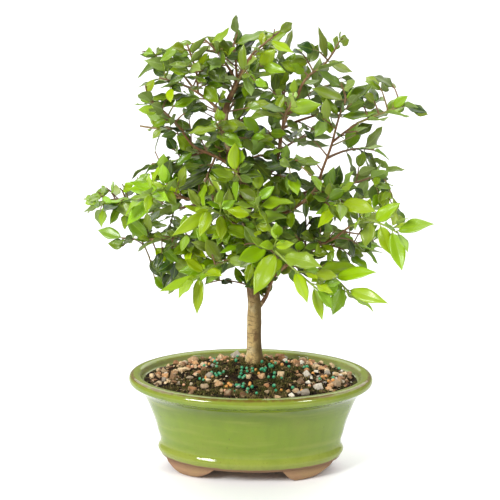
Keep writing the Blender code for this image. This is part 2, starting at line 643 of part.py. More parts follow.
def place_leaf(space, name, spot, frame, face, share, aim, length, width, facing, rng, tries=12, loose=1.0, free=False):
    """A leaf from one flat side of the twig. Where it would cross anything it is bent clear, or left out."""
    ahead = frame[0]
    outward = twig_sides(frame)[face] if face < 4 else ahead
    lengthwise = ahead if face < 4 else frame[1]
    start = spot + outward * (twig_half(share) if face < 4 else 0.0)
    for attempt in range(tries):
        swing = loose * 0.09 * attempt
        heading = (aim + Vector([rng.uniform(-swing, swing) for _ in range(3)])).normalized()
        if heading.dot(outward) < 0.42:
            heading = (heading + outward * (0.55 - heading.dot(outward))).normalized()
        size = 1.0 - 0.016 * attempt * loose
        tip = start + heading * (length * size)
        if not free and not in_crown(tip):
            continue
        across = (lengthwise - heading * heading.dot(lengthwise)).normalized()
        up = across.cross(heading)
        best = 0.0
        want = facing.normalized()
        if up.dot(want) < 0:
            want = -want
        flat = want - heading * want.dot(heading)
        if flat.length > 0.2:
            best = math.atan2(flat.dot(-across), flat.dot(up))
        best = max(-0.9, min(0.9, best)) + rng.uniform(-0.2, 0.2)
        across = Matrix.Rotation(-best, 3, heading) @ across
        fold = rng.uniform(0.10, 0.28) * (1 if across.cross(heading).z > 0 else -1)
        leaf = (start, tip, width * size, across, fold, rng.uniform(-0.03, 0.07), rng.uniform(-0.12, 0.12))
        wider = (start, tip + heading * 0.5, width * size * 1.06) + leaf[3:]
        if space.free(probe_blade(wider, 0.17, TEST_THICK)) and space.free(probe_blade(wider, 0.02, 1.3), but=(name, name + "_twig")):
            space.add(name, probe_blade(leaf, 0.03, BLADE_THICK))
            return leaf
    return None


def spray_leaves(space, name, path, young, rng):
    """Sockets along a twig, each with its share of the length, the twig's side and the leaf on it."""
    sockets = []
    total = path_length(path)
    gap = (SOCKET + 0.5) / total
    big = [leaf for leaf in LARGE_LEAVES if leaf[0] == name]
    for _, start, tip, depth, width in big:
        aim_at = viewed(tip[0], tip[1], depth)
        share = min(0.96, max(0.04, nearest_share(path, viewed(start[0], start[1], depth + 14))))
        frame = frame_at(path, share)
        spot, _ = along(path, share)
        heading = aim_at - spot
        sides = sorted(range(4), key=lambda k: -twig_sides(frame)[k].dot(heading))
        for face in sides[:2]:
            place = share
            while any(abs(place - s) < gap and (abs(place - s) > 1e-6 or f == face) for s, f, _ in sockets) and place > 0.05:
                place -= 0.4 * gap
            spot, _ = along(path, place)
            heading = aim_at - spot
            facing = Vector((rng.uniform(-0.3, 0.3), -0.8, 0.75))
            leaf = place_leaf(space, name, spot, frame_at(path, place), face, place, heading.normalized(), heading.length,
                              width, facing, rng, 16, 0.3, True)
            if leaf:
                sockets.append((place, face, leaf))
                break
    count = max(2, int(total / PAIR_STEP + 0.6))
    for i in range(count):
        share = (i + 0.5) / (count + 0.35)
        if big and (share > 0.5 or i % 2):
            continue
        if any(abs(share - s) < 1.3 * gap for s, _, _ in sockets):
            continue
        spot, ahead = along(path, share)
        frame = frame_at(path, share)
        pair = (0, 2) if rng.random() < 0.25 else (3, 1)
        for face in pair:
            outward = twig_sides(frame)[face]
            length = rng.uniform(22, 30) * (1.08 if young else 1.0)
            aim = outward * rng.uniform(0.75, 1.2) + ahead * rng.uniform(0.45, 0.95)
            aim += Vector((0, 0, rng.uniform(-0.45, 0.15)))
            facing = crown_facing(spot, rng)
            width = length * rng.uniform(0.37, 0.47)
            leaf = place_leaf(space, name, spot, frame, face, share, aim.normalized(), length, width, facing, rng)
            if leaf:
                sockets.append((share, face, leaf))
    length = rng.uniform(20, 27)
    aim = (path[-1] - path[-2]).normalized() + Vector((rng.uniform(-0.3, 0.3), rng.uniform(-0.3, 0.3), rng.uniform(-0.4, 0.1)))
    leaf = place_leaf(space, name, path[-1], frame_at(path, 1.0), 4, 1.0, aim.normalized(), length, length * 0.42,
                      crown_facing(path[-1], rng), rng)
    return sockets, leaf


def spray_shape(path, sockets, end_leaf):
    """One closed body: a square twig with rings at each socket, whose open side carries the blade."""
    total = path_length(path)
    half = 0.5 * SOCKET / total
    rings = [(0.0, frame_at(path, 0.0))]
    open_sides = {}
    for share in sorted({s for s, _, _ in sockets}):
        frame = frame_at(path, share)
        rings.append((share - half, frame))
        open_sides[len(rings) - 1] = {f: leaf for s, f, leaf in sockets if s == share}
        rings.append((share + half, frame))
    rings.append((1.0, frame_at(path, 1.0)))
    points, faces = [], []
    for share, (_, side, other) in rings:
        spot, _ = along(path, share)
        r = twig_half(share)
        points += [spot + side * r + other * r, spot - side * r + other * r,
                   spot - side * r - other * r, spot + side * r - other * r]

    def add_leaf(leaf, root_lower, root_upper):
        start, tip, width, across, fold, arch, wave = leaf
        rows = blade_rows(start, tip, width, across, BLADE_THICK, fold, arch, wave)
        at = len(points)
        points.extend(rows[0] + rows[1])
        count = len(rows[0])
        faces.extend(blade_faces(list(range(at, at + count)), list(range(at + count, at + 2 * count)), root_upper, root_lower))

    for level in range(len(rings) - 1):
        low, high = 4 * level, 4 * level + 4
        for k in range(4):
            j = (k + 1) % 4
            leaf = open_sides.get(level, {}).get(k)
            if leaf:
                add_leaf(leaf, (low + k, high + k), (low + j, high + j))
            else:
                faces.append((low + k, low + j, high + j, high + k))
    faces.append((3, 2, 1, 0))
    end = 4 * (len(rings) - 1)
    if end_leaf:
        add_leaf(end_leaf, (end + 2, end + 3), (end + 1, end + 0))
    else:
        faces.append((end, end + 1, end + 2, end + 3))
    return points, faces


def build_tree():
    space = Space()
    paths = {}
    wood = []
    path, radii = trunk_path()
    paths["trunk"] = (path, radii)
    trunk_shape = loft_outward(tube(path, radii, 7))
    wood.append(trunk_shape)
    space.add("wood", trunk_shape)
    twigs = []
    for name, (parent, r0, r1, share, stations) in BRANCHES.items():
        full = [viewed(*s) for s in stations]
        parent_path = paths[parent][0]
        full[0] = along(parent_path, nearest_share(parent_path, full[0]))[0]
        count = max(3, int(round((len(full) - 1) * share)) + 1)
        woody = cut_path(full, 0.0, share, count)
        radii = [r0 + (r1 - r0) * i / (count - 1) for i in range(count)]
        paths[name] = (woody, radii)
        shape = loft_outward(tube(woody, radii, 5 if r0 > 1.3 else 4))
        wood.append(shape)
        space.add("wood", shape)
        if share == 1.0:
            continue
        left = path_length(full) * (1 - share)
        green = cut_path(full, share, 1.0, 3 if left < 30 else 4)
        twigs.append((name, green))
    for index, (parent, share, heading, length) in enumerate(SIDE_SPRAYS):
        path, radii = paths[parent]
        spot, ahead = along(path, share)
        out = Vector((heading[0], heading[2], -heading[1])).normalized()
        out = (out - ahead * out.dot(ahead) * 0.6).normalized()
        place = nearest_station(path, spot)
        start = spot + out * (0.94 * radii[place])
        droop = Vector((0, 0, 0.12 * length))
        twigs.append((f"inner_{index + 1}", [start, start + out * (0.5 * length) + droop * 0.5, start + out * length + droop]))
    trunk = mesh_object("trunk", *wood[0], made_of=material("jaboticaba bark", BARK, 0.8))
    boolean(trunk, "UNION", [mesh_object("limb", *shape, hidden=True) for shape in wood[1:]], "MANIFOLD")
    dark = material("mature jaboticaba leaf", TWIG_GREEN, 0.35)
    bright = material("young jaboticaba leaf", YOUNG_GREEN, 0.35)
    grown = []
    for index, (name, path) in enumerate(twigs):
        rng = random.Random(SEEDS.get(name, 100 + index))
        path[0] = path[0] + (path[1] - path[0]).normalized() * SEAT_GAP
        tried, radii = grow_twig(space, name, path, rng)
        if not tried:
            print("no room for twig", name)
            continue
        shape = loft_outward(tube(tried, radii, 4))
        space.add(name + "_twig", shape)
        grown.append((name, tried, shape, rng))
    order = sorted(grown, key=lambda item: item[0] not in YOUNG)
    total = 0
    for name, path, shape, rng in order:
        young = name in YOUNG
        sockets, end_leaf = spray_leaves(space, name, path, young, rng)
        total += len(sockets) + bool(end_leaf)
        title = ("young_shoot_" if young else "leafy_spray_") + name
        body = loft_outward(spray_shape(path, sockets, end_leaf))
        mesh_object(title, *body, made_of=bright if young else dark)
    print("leaves", total)


def main():
    clear_scene()
    build_pot()
    build_soil()
    build_screens()
    build_tree()


main()
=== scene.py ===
"""The looks of a jaboticaba bonsai in its glazed oval pot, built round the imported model.

It is laid out as an add-on and run as a script. Tables and growth work in millimetres, and meshes are in
metres. The tree's stations are given as seen from the front: across and down in the 500 units of the front
view, with the depth behind the pot's centre in millimetres.
"""

import functools
import json
import math
import random

import bmesh
import bpy
import numpy as np
from bpy.props import FloatProperty, FloatVectorProperty, IntProperty, PointerProperty
from mathutils import Matrix, Vector, noise
from mathutils.bvhtree import BVHTree
from mathutils.kdtree import KDTree

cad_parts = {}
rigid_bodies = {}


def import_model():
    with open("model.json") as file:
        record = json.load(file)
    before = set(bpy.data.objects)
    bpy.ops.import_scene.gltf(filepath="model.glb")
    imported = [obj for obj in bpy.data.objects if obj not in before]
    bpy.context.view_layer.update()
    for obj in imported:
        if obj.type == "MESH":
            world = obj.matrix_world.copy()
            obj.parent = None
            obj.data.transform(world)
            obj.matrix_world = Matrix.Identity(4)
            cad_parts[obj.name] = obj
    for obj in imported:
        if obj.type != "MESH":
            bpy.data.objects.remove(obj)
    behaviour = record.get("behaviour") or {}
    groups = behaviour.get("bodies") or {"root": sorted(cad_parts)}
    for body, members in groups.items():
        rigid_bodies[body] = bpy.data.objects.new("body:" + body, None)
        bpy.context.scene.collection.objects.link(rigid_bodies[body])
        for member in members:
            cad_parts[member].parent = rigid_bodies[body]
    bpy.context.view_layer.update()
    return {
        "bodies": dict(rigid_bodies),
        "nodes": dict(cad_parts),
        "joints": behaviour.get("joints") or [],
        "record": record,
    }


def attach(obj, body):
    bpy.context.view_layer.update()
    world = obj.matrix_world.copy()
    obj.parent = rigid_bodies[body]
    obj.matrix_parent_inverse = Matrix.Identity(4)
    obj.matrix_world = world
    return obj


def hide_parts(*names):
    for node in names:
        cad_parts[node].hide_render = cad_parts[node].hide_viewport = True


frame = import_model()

bl_info = {
    "name": "Jaboticaba bonsai looks",
    "version": (1, 0, 0),
    "blender": (4, 5, 0),
    "location": "3D View > Sidebar > Bonsai",
    "description": "Glazed oval pot, gravelly soil, trunk and leafy crown of a jaboticaba bonsai",
    "category": "Object",
}

MM = 0.001
FULL_TURN = 6.283

# Seed of the random numbers of each thing that is strewn or grown
SEED_OF = {
    "stones": 41, "soil": 7, "wear": 11, "gravel": 23, "moss": 31, "beads": 53, "twiglets": 77, "sprays": 91,
    "shoots": 97,
}

# Front view that the stations are read in
VIEW_ELEVATION = math.radians(14.5)
VIEW_AZIMUTH = math.radians(3.0)
VIEW_DISTANCE = 1300.0
VIEW_SCALE = 1579.5
VIEW_CENTRE = (250.5, 249.5)
VIEW_AIM = Vector((0.0, 0.0, 190.0))
VIEW_BACK = Vector((math.sin(VIEW_AZIMUTH) * math.cos(VIEW_ELEVATION),
                    -math.cos(VIEW_AZIMUTH) * math.cos(VIEW_ELEVATION), math.sin(VIEW_ELEVATION)))
VIEW_RIGHT = Vector((math.cos(VIEW_AZIMUTH), math.sin(VIEW_AZIMUTH), 0.0))
VIEW_UP = VIEW_BACK.cross(VIEW_RIGHT)
VIEW_EYE = VIEW_AIM + VIEW_BACK * VIEW_DISTANCE
PICTURE_SIDE = 500
SENSOR = 36.0
FLOOR = 6000.0

# Pot
RIM_A = 102.5
RIM_B = 70.0
FOOT_HEIGHT = 8.5
POT_SIDES = 160
SOLID_SIDES = 36
POT_OUTSIDE = (
    (29.5, 9.9), (27.6, 10.9), (25.9, 13.0), (24.5, 15.4), (23.8, 17.4), (24.1, 19.2), (25.0, 21.0),
    (25.7, 22.6), (25.8, 24.4), (25.4, 27.6), (23.8, 33.0), (21.6, 42.0), (18.7, 50.5), (15.5, 59.0),
    (12.3, 65.4), (8.6, 70.2), (4.9, 73.3), (2.6, 74.7), (1.2, 75.7), (0.45, 76.8), (0.05, 78.1),
    (0.2, 79.8), (0.9, 81.2), (2.1, 82.2), (3.7, 82.75), (5.6, 82.9), (7.5, 82.7), (9.1, 82.1),
    (10.2, 81.1), (10.8, 79.8), (11.3, 78.2),
)
POT_INSIDE = ((11.3, 78.2), (16.5, 72.5), (29.0, 42.0), (33.0, 25.0), (36.0, 18.0))
POT_FLOOR = 16.5
DRAIN_AT = (-32.0, 32.0)
DRAIN_RADIUS = 8.0
SCREEN_RADIUS = 12.0
SCREEN_THICK = 1.2
FOOT_CENTRES = (48.0, 132.0, 228.0, 312.0)
FOOT_HALF_ANGLE = 22.0
FOOT_TOP = 12.5
FOOT_SHARES = (-1.0, -0.9, -0.8, -0.68, -0.52, -0.34, -0.2, 0.2, 0.42, 0.66, 0.86, 1.0)
FOOT_LIFTS = (11.4, 9.8, 7.4, 4.4, 1.6, 0.3, 0.0, 0.0, 0.9, 3.4, 7.0, 11.4)

# Soil
FIT_GAP = 0.35
WALL_MARGIN = 15.0
MOUND_MARGIN = 16.0
STONE_MARGIN = 17.5
SOIL_AT_WALL = 75.0
SOIL_MOUND = 15.5
TRUNK_AT = (2.6, 13.0)
TRUNK_HOLE_RADIUS = 7.6
TRUNK_HOLE_FLOOR = 66.0
STONES = 46
FINE_EDGE = 77.2
MOSS_TUFTS = 210
CREEPING_TUFTS = 22
DEAD_FIBRES = 130
CHIP_HEIGHT = 0.6
CRUMB_SIZES = (0.9, 2.8)
FAR_BEADS = 36

# Leaves
BLADE_THICK = 0.7
COMMON_BLADE = 25.0
SOCKET = 1.1
PAIR_STEP = 16.0
TEST_THICK = 1.5
TWIG_START = 1.0
TWIG_END = 0.78
TWIG_ROOM = 0.35
SEAT_GAP = 0.3
LEAF_LENGTHS = (22, 30)
END_LEAF_LENGTHS = (20, 27)

# Twiglets: longest reach, steps between leaf pairs and between twiglets, and least and most lengths
LONGEST_REACH = 75.0
FINE_PAIR_STEP = 9.0
SPRAY_TWIGLET_STEP = 13.0
WOOD_TWIGLET_STEP = 7.0
REACHING_LEAF_LENGTHS = (13, 21)
REACHING_END_LENGTHS = (14, 20)
SPRAY_TWIGLET_LENGTHS = (6, 15)
SPRAY_TWIGLET_LEAVES = (11, 20)
WOOD_TWIGLET_LENGTHS = (8, 22)
WOOD_TWIGLET_LEAVES = (12, 21)

# Crown: height of its middle, and half its width, depth and height
CROWN_MIDDLE = 235.0
CROWN_HALF = (135, 95, 190)

# Trunk stations: across, down, depth, radius
TRUNK = (
    (254.0, 333.0, 13.0, 5.4), (254.3, 322.0, 13.0, 5.5), (254.5, 305.0, 13.0, 5.0),
    (252.5, 285.0, 13.0, 4.6), (250.0, 268.0, 12.5, 4.1), (248.0, 250.0, 12.0, 3.7),
    (246.0, 215.0, 10.0, 3.3), (243.0, 187.0, 9.0, 3.0), (236.0, 168.0, 8.0, 2.4), (228.0, 145.0, 8.0, 2.1),
    (225.0, 118.0, 8.0, 1.9), (229.0, 100.0, 6.0, 1.7), (237.0, 84.0, 4.0, 1.4),
)

# Branches: parent, radius at the start and the end, share that is wood, stations
BRANCHES = {
    "top_left": ("trunk", 1.3, 0.9, 0.55, ((237, 84, 4), (228, 66, 2), (217, 52, 0), (210, 44, -2),
        (203, 38, -2))),
    "top_mid": ("trunk", 1.3, 0.9, 0.45, ((237, 84, 4), (236, 62, 4), (233, 46, 5), (237, 34, 6))),
    "top_right": ("trunk", 1.3, 0.9, 0.55, ((237, 84, 4), (246, 66, 0), (253, 53, -4), (268, 44, -8),
        (280, 37, -10))),
    "top_back": ("trunk", 1.3, 0.9, 0.5, ((229, 100, 6), (234, 84, 22), (242, 68, 38), (252, 54, 50))),
    "top_front": ("trunk", 1.2, 0.9, 0.4, ((233, 92, 5), (240, 78, -14), (247, 68, -34))),
    "right": ("trunk", 2.3, 1.2, 1.0, ((246, 200, 9), (258, 184, 4), (270, 173, 2), (279, 152, 0),
        (282, 128, -2), (289, 110, -4), (298, 95, -4))),
    "right_a": ("right", 1.3, 0.9, 0.5, ((282, 128, -2), (300, 120, 6), (320, 114, 12), (345, 100, 15))),
    "right_top": ("right", 1.2, 0.9, 0.4, ((298, 95, -4), (304, 80, 0), (315, 70, 2), (328, 62, 5),
        (335, 50, 5))),
    "right_b": ("right", 1.2, 0.9, 0.5, ((289, 110, -4), (282, 92, 16), (278, 74, 30), (282, 56, 36))),
    "right_c": ("right", 1.2, 0.9, 0.45, ((286, 118, -3), (300, 100, 24), (318, 88, 44), (334, 84, 58))),
    "outer": ("trunk", 1.6, 0.9, 0.8, ((247, 222, 11), (270, 220, -6), (295, 208, -14), (312, 195, -14),
        (321, 178, -12), (325, 158, -10), (333, 143, -8), (338, 119, -6), (346, 98, -4), (342, 86, -2))),
    "outer_right": ("outer", 1.1, 0.8, 0.4, ((333, 143, -8), (345, 132, -7), (359, 122, -6), (380, 114, -6),
        (402, 106, -6))),
    "outer_back": ("outer", 1.2, 0.9, 0.45, ((325, 158, -10), (340, 152, 20), (358, 148, 44),
        (374, 150, 58))),
    "low": ("trunk", 2.0, 1.0, 1.0, ((261, 314, 13), (264, 302, 12), (268, 290, 8), (274, 275, 2),
        (290, 262, -8), (310, 250, -18), (335, 238, -26))),
    "low_down": ("low", 1.1, 0.8, 0.45, ((290, 262, -8), (304, 266, -28), (318, 269, -42), (333, 276, -54),
        (349, 292, -62))),
    "low_right": ("low", 1.1, 0.8, 0.3, ((335, 238, -26), (350, 226, -38), (368, 220, -48), (384, 225, -60),
        (398, 233, -72))),
    "low_back": ("low", 1.1, 0.8, 0.45, ((310, 250, -18), (330, 246, 6), (352, 244, 24), (372, 240, 36))),
    "side": ("trunk", 1.6, 0.9, 0.7, ((246, 218, 10), (268, 212, 12), (300, 192, 16), (338, 187, 18),
        (365, 180, 16), (385, 172, 12))),
    "side_front": ("side", 1.0, 0.8, 0.35, ((318, 190, 17), (328, 194, -4), (337, 198, -24),
        (341, 204, -38))),
    "front": ("trunk", 1.2, 0.9, 0.5, ((248, 245, 12), (250, 232, -10), (254, 218, -34), (258, 205, -58))),
    "front_low": ("trunk", 1.2, 0.8, 0.45, ((249.5, 262, 12), (258, 252, -8), (266, 246, -34),
        (272, 248, -60), (283, 258, -70), (295, 270, -76), (306, 279, -80), (317, 289, -82))),
    "front_left": ("trunk", 1.2, 0.9, 0.45, ((247, 235, 12), (235, 224, -12), (222, 214, -36),
        (208, 208, -58))),
    "down_left": ("trunk", 1.2, 0.8, 0.5, ((249, 256, 12), (238, 258, -6), (225, 262, -26), (210, 268, -44),
        (194, 279, -56))),
    "left_low": ("trunk", 1.4, 0.9, 0.5, ((248, 240, 12), (230, 238, 2), (205, 238, -8), (180, 238, -12),
        (158, 239, -14), (135, 240, -10), (122, 238, -6))),
    "left": ("trunk", 1.5, 0.9, 0.55, ((245, 205, 9), (225, 205, -2), (205, 202, -8), (186, 198, -10),
        (163, 197, -8), (140, 200, 0), (118, 199, 8), (95, 203, 14))),
    "left_front": ("left", 1.1, 0.8, 0.4, ((186, 198, -10), (172, 192, -26), (157, 190, -38),
        (146, 198, -46))),
    "upper_left": ("trunk", 1.6, 0.9, 0.6, ((236, 170, 8), (217, 157, 2), (196, 149, 0), (182, 130, -4),
        (161, 108, -8), (141, 95, -10))),
    "upper_low": ("upper_left", 1.1, 0.8, 0.35, ((205, 152, 1), (190, 156, 10), (172, 162, 16),
        (152, 164, 20))),
    "upper_far": ("upper_left", 1.1, 0.8, 0.4, ((182, 130, -4), (168, 128, 10), (152, 128, 18),
        (140, 126, 22))),
    "crown_left": ("trunk", 1.5, 0.9, 0.6, ((225, 118, 8), (214, 105, 4), (199, 92, 6), (182, 84, 6),
        (160, 78, 8))),
    "crown_up": ("crown_left", 1.1, 0.8, 0.4, ((199, 92, 6), (197, 75, 0), (192, 58, -4), (187, 44, -6))),
    "crown_far": ("crown_left", 1.1, 0.8, 0.4, ((196, 91, 6), (183, 74, 12), (167, 62, 16), (150, 56, 18))),
    "back_a": ("trunk", 1.3, 0.9, 0.55, ((246, 215, 10), (236, 205, 40), (222, 195, 68), (205, 190, 90))),
    "back_b": ("trunk", 1.3, 0.9, 0.55, ((247, 225, 11), (262, 215, 42), (278, 207, 70), (292, 203, 92))),
    "back_c": ("trunk", 1.3, 0.9, 0.5, ((236, 170, 8), (226, 160, 36), (212, 150, 60), (200, 145, 78))),
    "back_d": ("right", 1.3, 0.9, 0.5, ((279, 152, 0), (288, 145, 28), (300, 138, 52), (312, 134, 72))),
    "back_e": ("trunk", 1.2, 0.9, 0.5, ((225, 118, 8), (232, 105, 34), (240, 92, 54), (246, 85, 66))),
    "back_f": ("trunk", 1.3, 0.9, 0.5, ((248, 250, 12), (246, 240, 44), (244, 232, 72), (240, 228, 92))),
    "back_g": ("left", 1.2, 0.9, 0.45, ((205, 202, -8), (186, 207, 26), (168, 210, 50), (150, 212, 66))),
    "back_h": ("side", 1.2, 0.9, 0.45, ((300, 192, 16), (322, 198, 40), (345, 204, 60), (362, 208, 72))),
    "fore_a": ("right", 1.2, 0.9, 0.4, ((282, 128, -2), (283, 120, -22), (286, 112, -42), (291, 106, -58))),
    "fore_b": ("trunk", 1.2, 0.9, 0.4, ((228, 145, 8), (225, 138, -18), (221, 130, -38), (216, 124, -54))),
    "fore_c": ("trunk", 1.2, 0.9, 0.4, ((243, 187, 8), (240, 180, -22), (237, 174, -46), (234, 170, -64))),
    "fore_d": ("right", 1.2, 0.9, 0.4, ((270, 173, 2), (278, 168, -20), (288, 163, -42), (298, 160, -58))),
}

# Side sprays on the wood: branch, share along its wood, heading across, down and in depth, length
SIDE_SPRAYS = (
    ("trunk", 0.53, (-1.0, 0.3, -0.9), 30), ("trunk", 0.58, (1.0, 0.2, -1.0), 32),
    ("trunk", 0.51, (0.6, 0.2, 1.0), 30), ("trunk", 0.74, (1.0, -0.3, -0.8), 28),
    ("trunk", 0.86, (1.0, -0.5, 0.3), 26), ("right", 0.28, (1.0, 0.3, 0.6), 30),
    ("upper_left", 0.35, (-0.3, 0.9, -0.8), 28), ("left", 0.4, (-0.3, -1.0, 0.6), 28),
    ("low", 0.72, (0.5, -0.8, 0.2), 28), ("left_low", 0.5, (-0.5, -0.4, 1.0), 30),
    ("outer", 0.55, (0.6, 0.2, -0.9), 28), ("right", 0.62, (-1.0, -0.4, -0.2), 24),
)

# Large young leaves: spray, start and tip in the front view, tip's depth, width in millimetres
LARGE_LEAVES = (
    ("front_low", (271, 250), (254, 295), -82, 16.0), ("front_low", (275, 251), (313, 270), -92, 14.5),
    ("front_low", (295, 271), (318, 301), -94, 10.5), ("front_low", (316, 288), (323, 320), -84, 8.0),
    ("front_low", (270, 247), (250, 236), -74, 8.5), ("low_down", (331, 272), (375, 272), -74, 12.5),
    ("low_down", (349, 292), (382, 319), -78, 11.0), ("low_down", (343, 287), (333, 315), -70, 12.0),
    ("low_down", (339, 282), (322, 298), -66, 12.5), ("low_down", (328, 273), (312, 283), -58, 9.0),
    ("low_right", (398, 233), (434, 225), -88, 12.5), ("low_right", (396, 233), (403, 270), -78, 12.5),
    ("low_right", (381, 224), (403, 210), -62, 12.0), ("low_right", (386, 227), (391, 255), -66, 11.0),
    ("low_right", (372, 221), (366, 247), -62, 12.5), ("side_front", (340, 200), (375, 212), -54, 14.0),
    ("side_front", (340, 203), (318, 228), -52, 10.5), ("side_front", (337, 198), (328, 180), -40, 10.5),
    ("front", (258, 205), (292, 201), -72, 12.0), ("front", (257, 206), (270, 231), -74, 9.0),
    ("front", (256, 208), (234, 204), -70, 10.0), ("down_left", (195, 278), (160, 293), -62, 8.5),
    ("down_left", (196, 278), (197, 314), -60, 9.5), ("down_left", (205, 272), (221, 275), -62, 11.5),
    ("down_left", (200, 274), (185, 260), -56, 10.0), ("left_front", (147, 197), (126, 224), -50, 11.5),
    ("left_front", (156, 191), (131, 182), -44, 9.5), ("left_front", (160, 190), (176, 206), -44, 9.5),
    ("front_left", (209, 208), (172, 235), -66, 10.5), ("front_left", (212, 209), (200, 236), -70, 10.0),
    ("front_left", (214, 210), (184, 206), -60, 10.0), ("front_left", (220, 213), (222, 240), -52, 10.0),
)
YOUNG = ("front_low", "low_down", "low_right", "side_front", "front", "down_left", "left_front", "front_left")

# Seeds of the sprays that don't take theirs from their place in the list
SEEDS = {"top_mid": 201, "outer_right": 201, "low_back": 201, "back_h": 201, "inner_4": 204, "inner_6": 201}


# Crown's outline in the front view: down, left edge and right edge, and then across and the lower edge
CROWN_SIDES = (
    (13, 236, 246), (20, 230, 303), (30, 190, 330), (42, 176, 353), (55, 138, 354), (70, 137, 352),
    (82, 136, 400), (100, 128, 412), (115, 132, 430), (130, 142, 400), (150, 143, 384), (170, 134, 406),
    (185, 110, 408), (200, 80, 404), (215, 82, 418), (228, 92, 435), (248, 107, 410), (270, 154, 404),
    (290, 160, 384), (320, 190, 383),
)
CROWN_UNDER = (
    (78, 230), (106, 248), (152, 272), (160, 294), (186, 300), (193, 316), (201, 314), (208, 286),
    (240, 284), (255, 297), (276, 286), (300, 300), (322, 321), (336, 316), (352, 300), (383, 320),
    (388, 274), (405, 271), (436, 236),
)
CROWN_DEPTH = 100.0

# Bright young growth among the older leaves, in the front view: across, down, reach
BRIGHT_SPOTS = (
    (282, 74, 9), (291, 70, 9), (318, 88, 9), (316, 97, 7), (281, 101, 8), (304, 77, 8), (335, 67, 8),
    (338, 39, 9), (320, 43, 8), (382, 104, 10), (398, 103, 10), (348, 133, 8), (322, 127, 8), (331, 136, 6),
    (390, 177, 9), (404, 172, 9), (167, 91, 8), (233, 149, 10), (262, 141, 10), (277, 102, 7), (276, 73, 8),
    (157, 66, 8), (179, 181, 12), (157, 184, 12), (143, 172, 11), (153, 166, 9), (118, 192, 12),
    (100, 196, 14), (92, 210, 14), (215, 190, 14), (240, 198, 16), (268, 200, 16), (185, 215, 16),
    (205, 222, 16), (233, 232, 14), (195, 262, 14),
)

# Places in the front view where bare wood or a gap shows, so no small leaf stands there: across, down, reach
CLEAR_SPOTS = (
    (226, 120, 5), (229, 108, 5), (232, 95, 5), (235, 84, 5), (242, 70, 5), (250, 58, 5), (262, 50, 4),
    (212, 44, 4), (218, 53, 4), (225, 64, 4), (196, 50, 4), (199, 62, 4), (227, 30, 4), (207, 33, 4),
    (234, 172, 6), (240, 182, 5), (280, 140, 6), (287, 128, 5), (276, 150, 5), (322, 170, 7), (326, 157, 7),
    (333, 141, 7), (340, 124, 6), (350, 130, 7), (350, 150, 14), (376, 140, 14), (392, 135, 14),
    (310, 120, 8), (300, 152, 6), (305, 210, 10), (297, 216, 6), (337, 214, 6), (343, 224, 5),
    (212, 162, 7), (207, 170, 5), (214, 225, 7), (195, 35, 9), (143, 70, 8), (140, 85, 9), (143, 120, 8),
    (146, 133, 8), (153, 150, 9), (142, 165, 9), (112, 216, 8), (112, 232, 11), (146, 253, 12),
    (130, 248, 8), (205, 285, 8), (180, 292, 6), (263, 73, 7), (258, 92, 6), (268, 81, 5), (286, 40, 9),
    (302, 27, 8), (330, 76, 10), (350, 66, 12), (341, 90, 6), (309, 96, 6), (391, 94, 7), (322, 142, 7),
    (314, 153, 9), (335, 158, 8), (304, 208, 7), (335, 215, 8), (356, 233, 8), (290, 168, 5), (301, 176, 5),
    (222, 165, 6), (286, 285, 10), (401, 182, 7), (372, 256, 7), (204, 118, 6), (190, 126, 5),
    (258, 118, 5), (270, 126, 5), (268, 20, 10), (280, 30, 7), (335, 56, 8), (400, 88, 6), (403, 198, 8),
    (334, 84, 7), (148, 256, 9), (255, 92, 5), (240, 110, 4), (210, 113, 6), (193, 62, 5), (206, 99, 5),
    (163, 115, 5), (163, 146, 7), (213, 166, 6), (345, 120, 7), (257, 20, 6),
)

# Tips of leafy twiglets that fill thin parts of the crown: across, down, depth
FILL_TIPS = (
    (90, 204, 4), (100, 197, -6), (84, 199, 0), (118, 204, -12), (108, 189, 2), (122, 184, -4),
    (98, 192, 6), (137, 177, 2), (150, 240, -14), (162, 252, -18), (176, 262, -10), (160, 268, 4),
    (172, 276, 10), (190, 250, -26), (208, 246, -34), (214, 266, -22), (228, 260, -34), (188, 240, -20),
    (196, 272, 2), (180, 246, 14), (202, 258, 20), (155, 280, 14), (168, 240, 26), (205, 284, 10),
    (150, 258, 22), (152, 100, -6), (156, 54, 10), (170, 88, -10), (176, 104, 2), (188, 112, -4),
    (168, 98, 6), (212, 62, 4), (207, 72, -6), (243, 19, 2), (298, 50, 2), (314, 50, -2), (326, 121, 4),
    (172, 149, 4), (142, 52, 4), (392, 84, 4), (404, 176, 6), (410, 108, 0), (343, 38, 2), (186, 72, 2),
    (206, 84, 0), (302, 71, 2), (178, 136, 2), (120, 188, -2), (150, 222, 4), (185, 168, 2), (379, 86, 4),
    (372, 98, -4), (362, 104, 2), (380, 198, 6), (392, 196, 0), (396, 214, 4), (350, 256, -6),
    (314, 238, -30), (320, 246, -30), (280, 262, -40), (340, 262, -24), (360, 246, -14), (330, 280, -20),
    (252, 262, -44), (240, 246, -46), (270, 246, -48), (226, 232, -44), (350, 232, 20), (372, 250, 14),
    (300, 268, 10), (176, 224, 44), (210, 236, 52), (250, 240, 58), (290, 240, 54), (330, 240, 46),
)


def jitter(rng, reach):
    """A random step of up to this much each way."""
    return Vector([rng.uniform(-reach, reach) for _ in range(3)])


def viewed(across, down, depth):
    """The point at this depth that the front view shows here, in millimetres."""
    sideways, lower = (across - VIEW_CENTRE[0]) / VIEW_SCALE, (down - VIEW_CENTRE[1]) / VIEW_SCALE
    ray = VIEW_RIGHT * sideways - VIEW_UP * lower - VIEW_BACK
    return VIEW_EYE + ray * ((depth - VIEW_EYE.y) / ray.y)


